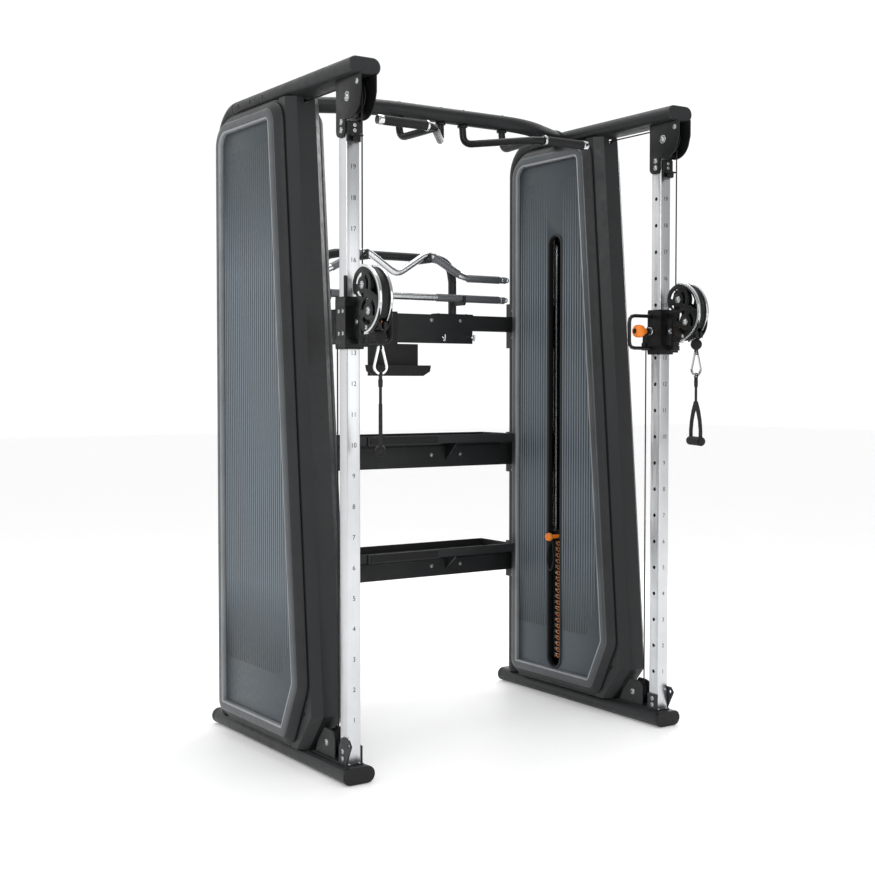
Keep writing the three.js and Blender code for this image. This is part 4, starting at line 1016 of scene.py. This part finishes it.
def pull_up_handle(label, side):
    top = 2281.7
    low = 2211
    front = low + 3

    def flip(points):
        return [(side * x, y, z) for x, y, z in points]

    main = rod_mesh(flip([(50, 412, top), (52, 406, low), (232, 183, front), (460, 180, front)]), 13.3, 46)
    brace = rod_mesh(flip([(234, 412, top), (234, 404, low - 4), (222, 200, low)]), 13.3, 40)
    handle = frame_piece(joined([main, brace]), f"{label}_pull_up_rod", 0, BLACK_COAT)
    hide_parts(f"{label}_pull_up_handle")
    grip = [(13.5, 0), (16.6, 1), (16.8, 4)]
    for i in range(28):
        grip += [(16.8, 6 + i * 6), (16.3, 8 + i * 6), (16.8, 10 + i * 6)]
    grip += [(16.8, 176), (13.5, 177)]
    axis = (side, 0, 0)
    frame_piece(lathe_mesh(grip, (side * 268, 181, front), axis, 40), f"{label}_pull_up_grip", 0,
                GRIP)
    ring = [(13, -9), (18.5, -9), (19, -7.5), (19, -1), (18.5, 0), (13, 0)]
    cap = [(13, 0), (16.8, 0), (17, 1.5), (17, 19), (15.5, 21.5), (0, 22)]
    bright = joined([lathe_mesh(ring, (side * 267, 181, front), axis),
                     lathe_mesh(cap, (side * 445, 181, front), axis)])
    frame_piece(bright, f"{label}_pull_up_ends", 0, BRIGHT)
    foot = [(13, 0), (19, 0), (20, -2), (19, -7), (13, -9)]
    feet = joined([lathe_mesh(foot, (side * x, 412, top), (0, 0, 1)) for x in (50, 234)])
    frame_piece(feet, f"{label}_pull_up_feet", 0, BLACK_COAT)


# ---- storage ----
def storage():
    dress("crossbeam", FRAME_COAT, 1.5)
    dress("upper_shelf", FRAME_COAT, 1.5)
    dress("lower_shelf", FRAME_COAT, 1.5)
    dress("tablet_holder", MOULDED, 1.5)
    dress("bar_rack", FRAME_COAT, 1.0)
    hooks = [rod_mesh([(x, 846, 1506), (x, 822, 1500), (x, 808, 1486), (x, 806, 1512)], 5.2, 14, 16)
             for x in (-385, -238, 238, 385)]
    frame_piece(joined(hooks), "crossbeam_hooks", 0, BRIGHT)
    reach = 318
    y = 870
    base = 1595.3
    loop = rod_mesh([(-reach, y, base), (-reach, y, 1826), (reach, y, 1826), (reach, y, base)], 17.3, 96, 32)
    frame_piece(loop, "bar_rack_tube", 0, FRAME_COAT)
    plates = joined([box_mesh((sign * reach - 95, 852, 1595.2), (sign * reach + 95, 888, 1600))
                     for sign in (-1, 1)])
    soften(frame_piece(plates, "bar_rack_plates", 0, FRAME_COAT), 1.2)
    spots = [((sign * reach + x, 870, 1600), (0, 0, 1), 6) for sign in (-1, 1) for x in (-70, 70)]
    flange_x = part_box("crossbeam")[1].x / MM - 6
    for bottom, top in ((1531, 1595), (963, 1049), (509, 578)):
        beam = (bottom + top) / 2
        spots += [((sign * x, 849.6, beam + 8), (0, -1, 0), 7) for sign in (-1, 1) for x in (200, 345)]
        spots += [((sign * flange_x, 845, z), (0, -1, 0), 6)
                  for sign in (-1, 1) for z in (bottom - 22, top + 24)]
    bolts("rack_bolts", 0, "frame", spots)
    ends = joined([box_mesh((min(sign * 556, sign * 617), 853, low), (max(sign * 556, sign * 617), 887, high))
                   for sign in (-1, 1) for low, high in ((1048, 1066.5), (577, 600.5))])
    frame_piece(ends, "shelf_end_blocks", 0, FRAME_COAT)
    for label, top in (("upper", 1100), ("lower", 634)):
        soften(frame_piece(box_mesh((-160, 738.5, top - 31), (160, 741.2, top - 5)),
                           f"{label}_shelf_label", 0, MOULDED), 1)
    soften(frame_piece(box_mesh((-SHELF_HALF, 756, 1071), (SHELF_HALF, 978, 1073.5)),
                       "upper_shelf_mat", 0, RUBBER), 0.8)


def loose_bars():
    """The curl bar and the straight bar, with knurled grips and bright swivel ends."""
    curl_low = 1745
    peak_x = 149
    dress("curl_bar", KNURLED)
    path = [(-540, BAR_Y, curl_low), (-330, BAR_Y, curl_low), (-peak_x, BAR_Y, 1839), (0, BAR_Y, curl_low),
            (peak_x, BAR_Y, 1839), (330, BAR_Y, curl_low), (540, BAR_Y, curl_low)]
    finish_piece(rod_mesh(path, 14.2, 34, 28), "curl_bar_rod", 0, "curl_bar", KNURLED)
    dress("straight_bar", KNURLED)
    straight_z = 1661
    ends = [(-533, BAR_Y, straight_z), (533, BAR_Y, straight_z)]
    finish_piece(rod_mesh(ends, 14.2, 1, 28), "straight_bar_rod", 0, "straight_bar", KNURLED)
    for bar, z, inner, outer in (("curl_bar", curl_low, 345, 508), ("straight_bar", straight_z, 190, 505)):
        length = outer - inner
        profile = [(13, 0), (15.4, 0), (15.8, 2), (15.8, length - 2), (15.4, length), (13, length)]
        grips = [lathe_mesh(profile, (sign * inner, BAR_Y, z), (sign, 0, 0), 32) for sign in (-1, 1)]
        finish_piece(joined(grips), f"{bar}_grips", 0, bar, BAR_GRIP)
    slopes = [rod_mesh([(sign * 173, BAR_Y, 1827), (sign * 300, BAR_Y, 1761)], 15.6, 1, 28)
              for sign in (-1, 1)]
    finish_piece(joined(slopes), "curl_bar_slope_grips", 0, "curl_bar", BAR_GRIP)


# ---- stage ----
def stage():
    bpy.ops.mesh.primitive_plane_add(size=60, location=(0, 0, 0))
    floor = bpy.context.object
    floor.name = "floor"
    shader = Shader("floor")
    speckle = shader.spread(shader.noise(3), 0, 1)
    base = shader.blend(speckle, colour("f4f4f4"), colour("f8f8f8"))
    shader.surface.inputs["Emission Color"].default_value = (1, 1, 1, 1)
    shader.surface.inputs["Emission Strength"].default_value = 0.2
    floor.data.materials.append(shader.finish(base, shader.spread(shader.noise(20), 0.5, 0.6), 0.0))
    world = bpy.data.worlds.new("studio")
    bpy.context.scene.world = world
    world.use_nodes = True
    background = world.node_tree.nodes["Background"]
    background.inputs["Color"].default_value = (1, 1, 1, 1)
    tree = world.node_tree
    direction = tree.nodes.new("ShaderNodeTexCoord")
    axes = tree.nodes.new("ShaderNodeSeparateXYZ")
    ramp = tree.nodes.new("ShaderNodeMapRange")
    tree.links.new(direction.outputs["Generated"], axes.inputs["Vector"])
    tree.links.new(axes.outputs["Y"], ramp.inputs["Value"])
    for key, value in (("From Min", -0.5), ("From Max", 0.25), ("To Min", 0.4), ("To Max", 1.05)):
        ramp.inputs[key].default_value = value
    tree.links.new(ramp.outputs["Result"], background.inputs["Strength"])
    bpy.context.scene.view_settings.view_transform = "Standard"
    lamp("key", (-3.2, -3.4, 3.6), (0, 0, 1.2), 2.4, 70)
    lamp("front_fill", (1.6, -4.6, 2.2), (0.2, 0, 1.2), 2.6, 30)
    lamp("top", (0.2, 0.6, 5.0), (0, 0, 1), 3.0, 70)
    lamp("rear_right", (3.6, 2.8, 2.6), (0.3, 0, 1.2), 2.2, 50)


def lamp(name, spot, target, size, power):
    light = bpy.data.lights.new(name, "AREA")
    light.size = size
    light.energy = power
    holder = bpy.data.objects.new(name, light)
    bpy.context.collection.objects.link(holder)
    holder.location = spot
    holder.rotation_euler = (Vector(target) - Vector(spot)).to_track_quat("-Z", "Y").to_euler()


def camera():
    lens = bpy.data.cameras.new("camera")
    lens.sensor_width = 36
    lens.lens = 55.94
    holder = bpy.data.objects.new("camera", lens)
    bpy.context.collection.objects.link(holder)
    holder.location = place(0, (-2911.2, -3841.7, 1300))
    holder.rotation_euler = (math.radians(90 - 2.177), 0, math.radians(-33.805))
    bpy.context.scene.camera = holder


# ---- assembly ----
camera()
stage()
for label, side in SIDES.items():
    side_frame_tube(label, side)
    beam_marks(label, side)
    top_bracket(label, side)
    top_stop(label, side)
    chrome_column(label, side)
    foot_details(label, side)
    dress(f"{label}_spine_cover", COVER, 2.0)
    tower_panel(label, side, inner=False)
    tower_panel(label, side, inner=True)
    tower_fillers(label, side)
    dress(f"{label}_weight_stack", IRON, 0.5)
    dress(f"{label}_stack_carrier", IRON, 1.5)
    dress(f"{label}_guide_rods", BRIGHT)
    stack_marks(label, side)
    selector_pin(label, side)
    pulley(label, side, "top_pulley", TOP_PULLEY, 44, 52, 11)
    pulley(label, side, "base_pulley", BASE_PULLEY, 38, 43, 10)
    pulley(label, side, "tower_pulley", TOWER_PULLEY, 38, 42, 10)
    pulley(label, side, "upper_head_pulley", UPPER_PULLEY, 36, 44, 9)
    pulley(label, side, "lower_head_pulley", LOWER_PULLEY, 36, 44, 9)
    cables(label, side)
    carriage(label, side)
    swivel_head(label, side)
    hand_grip(label, side)
    pull_up_handle(label, side)
crossbar()
storage()
loose_bars()
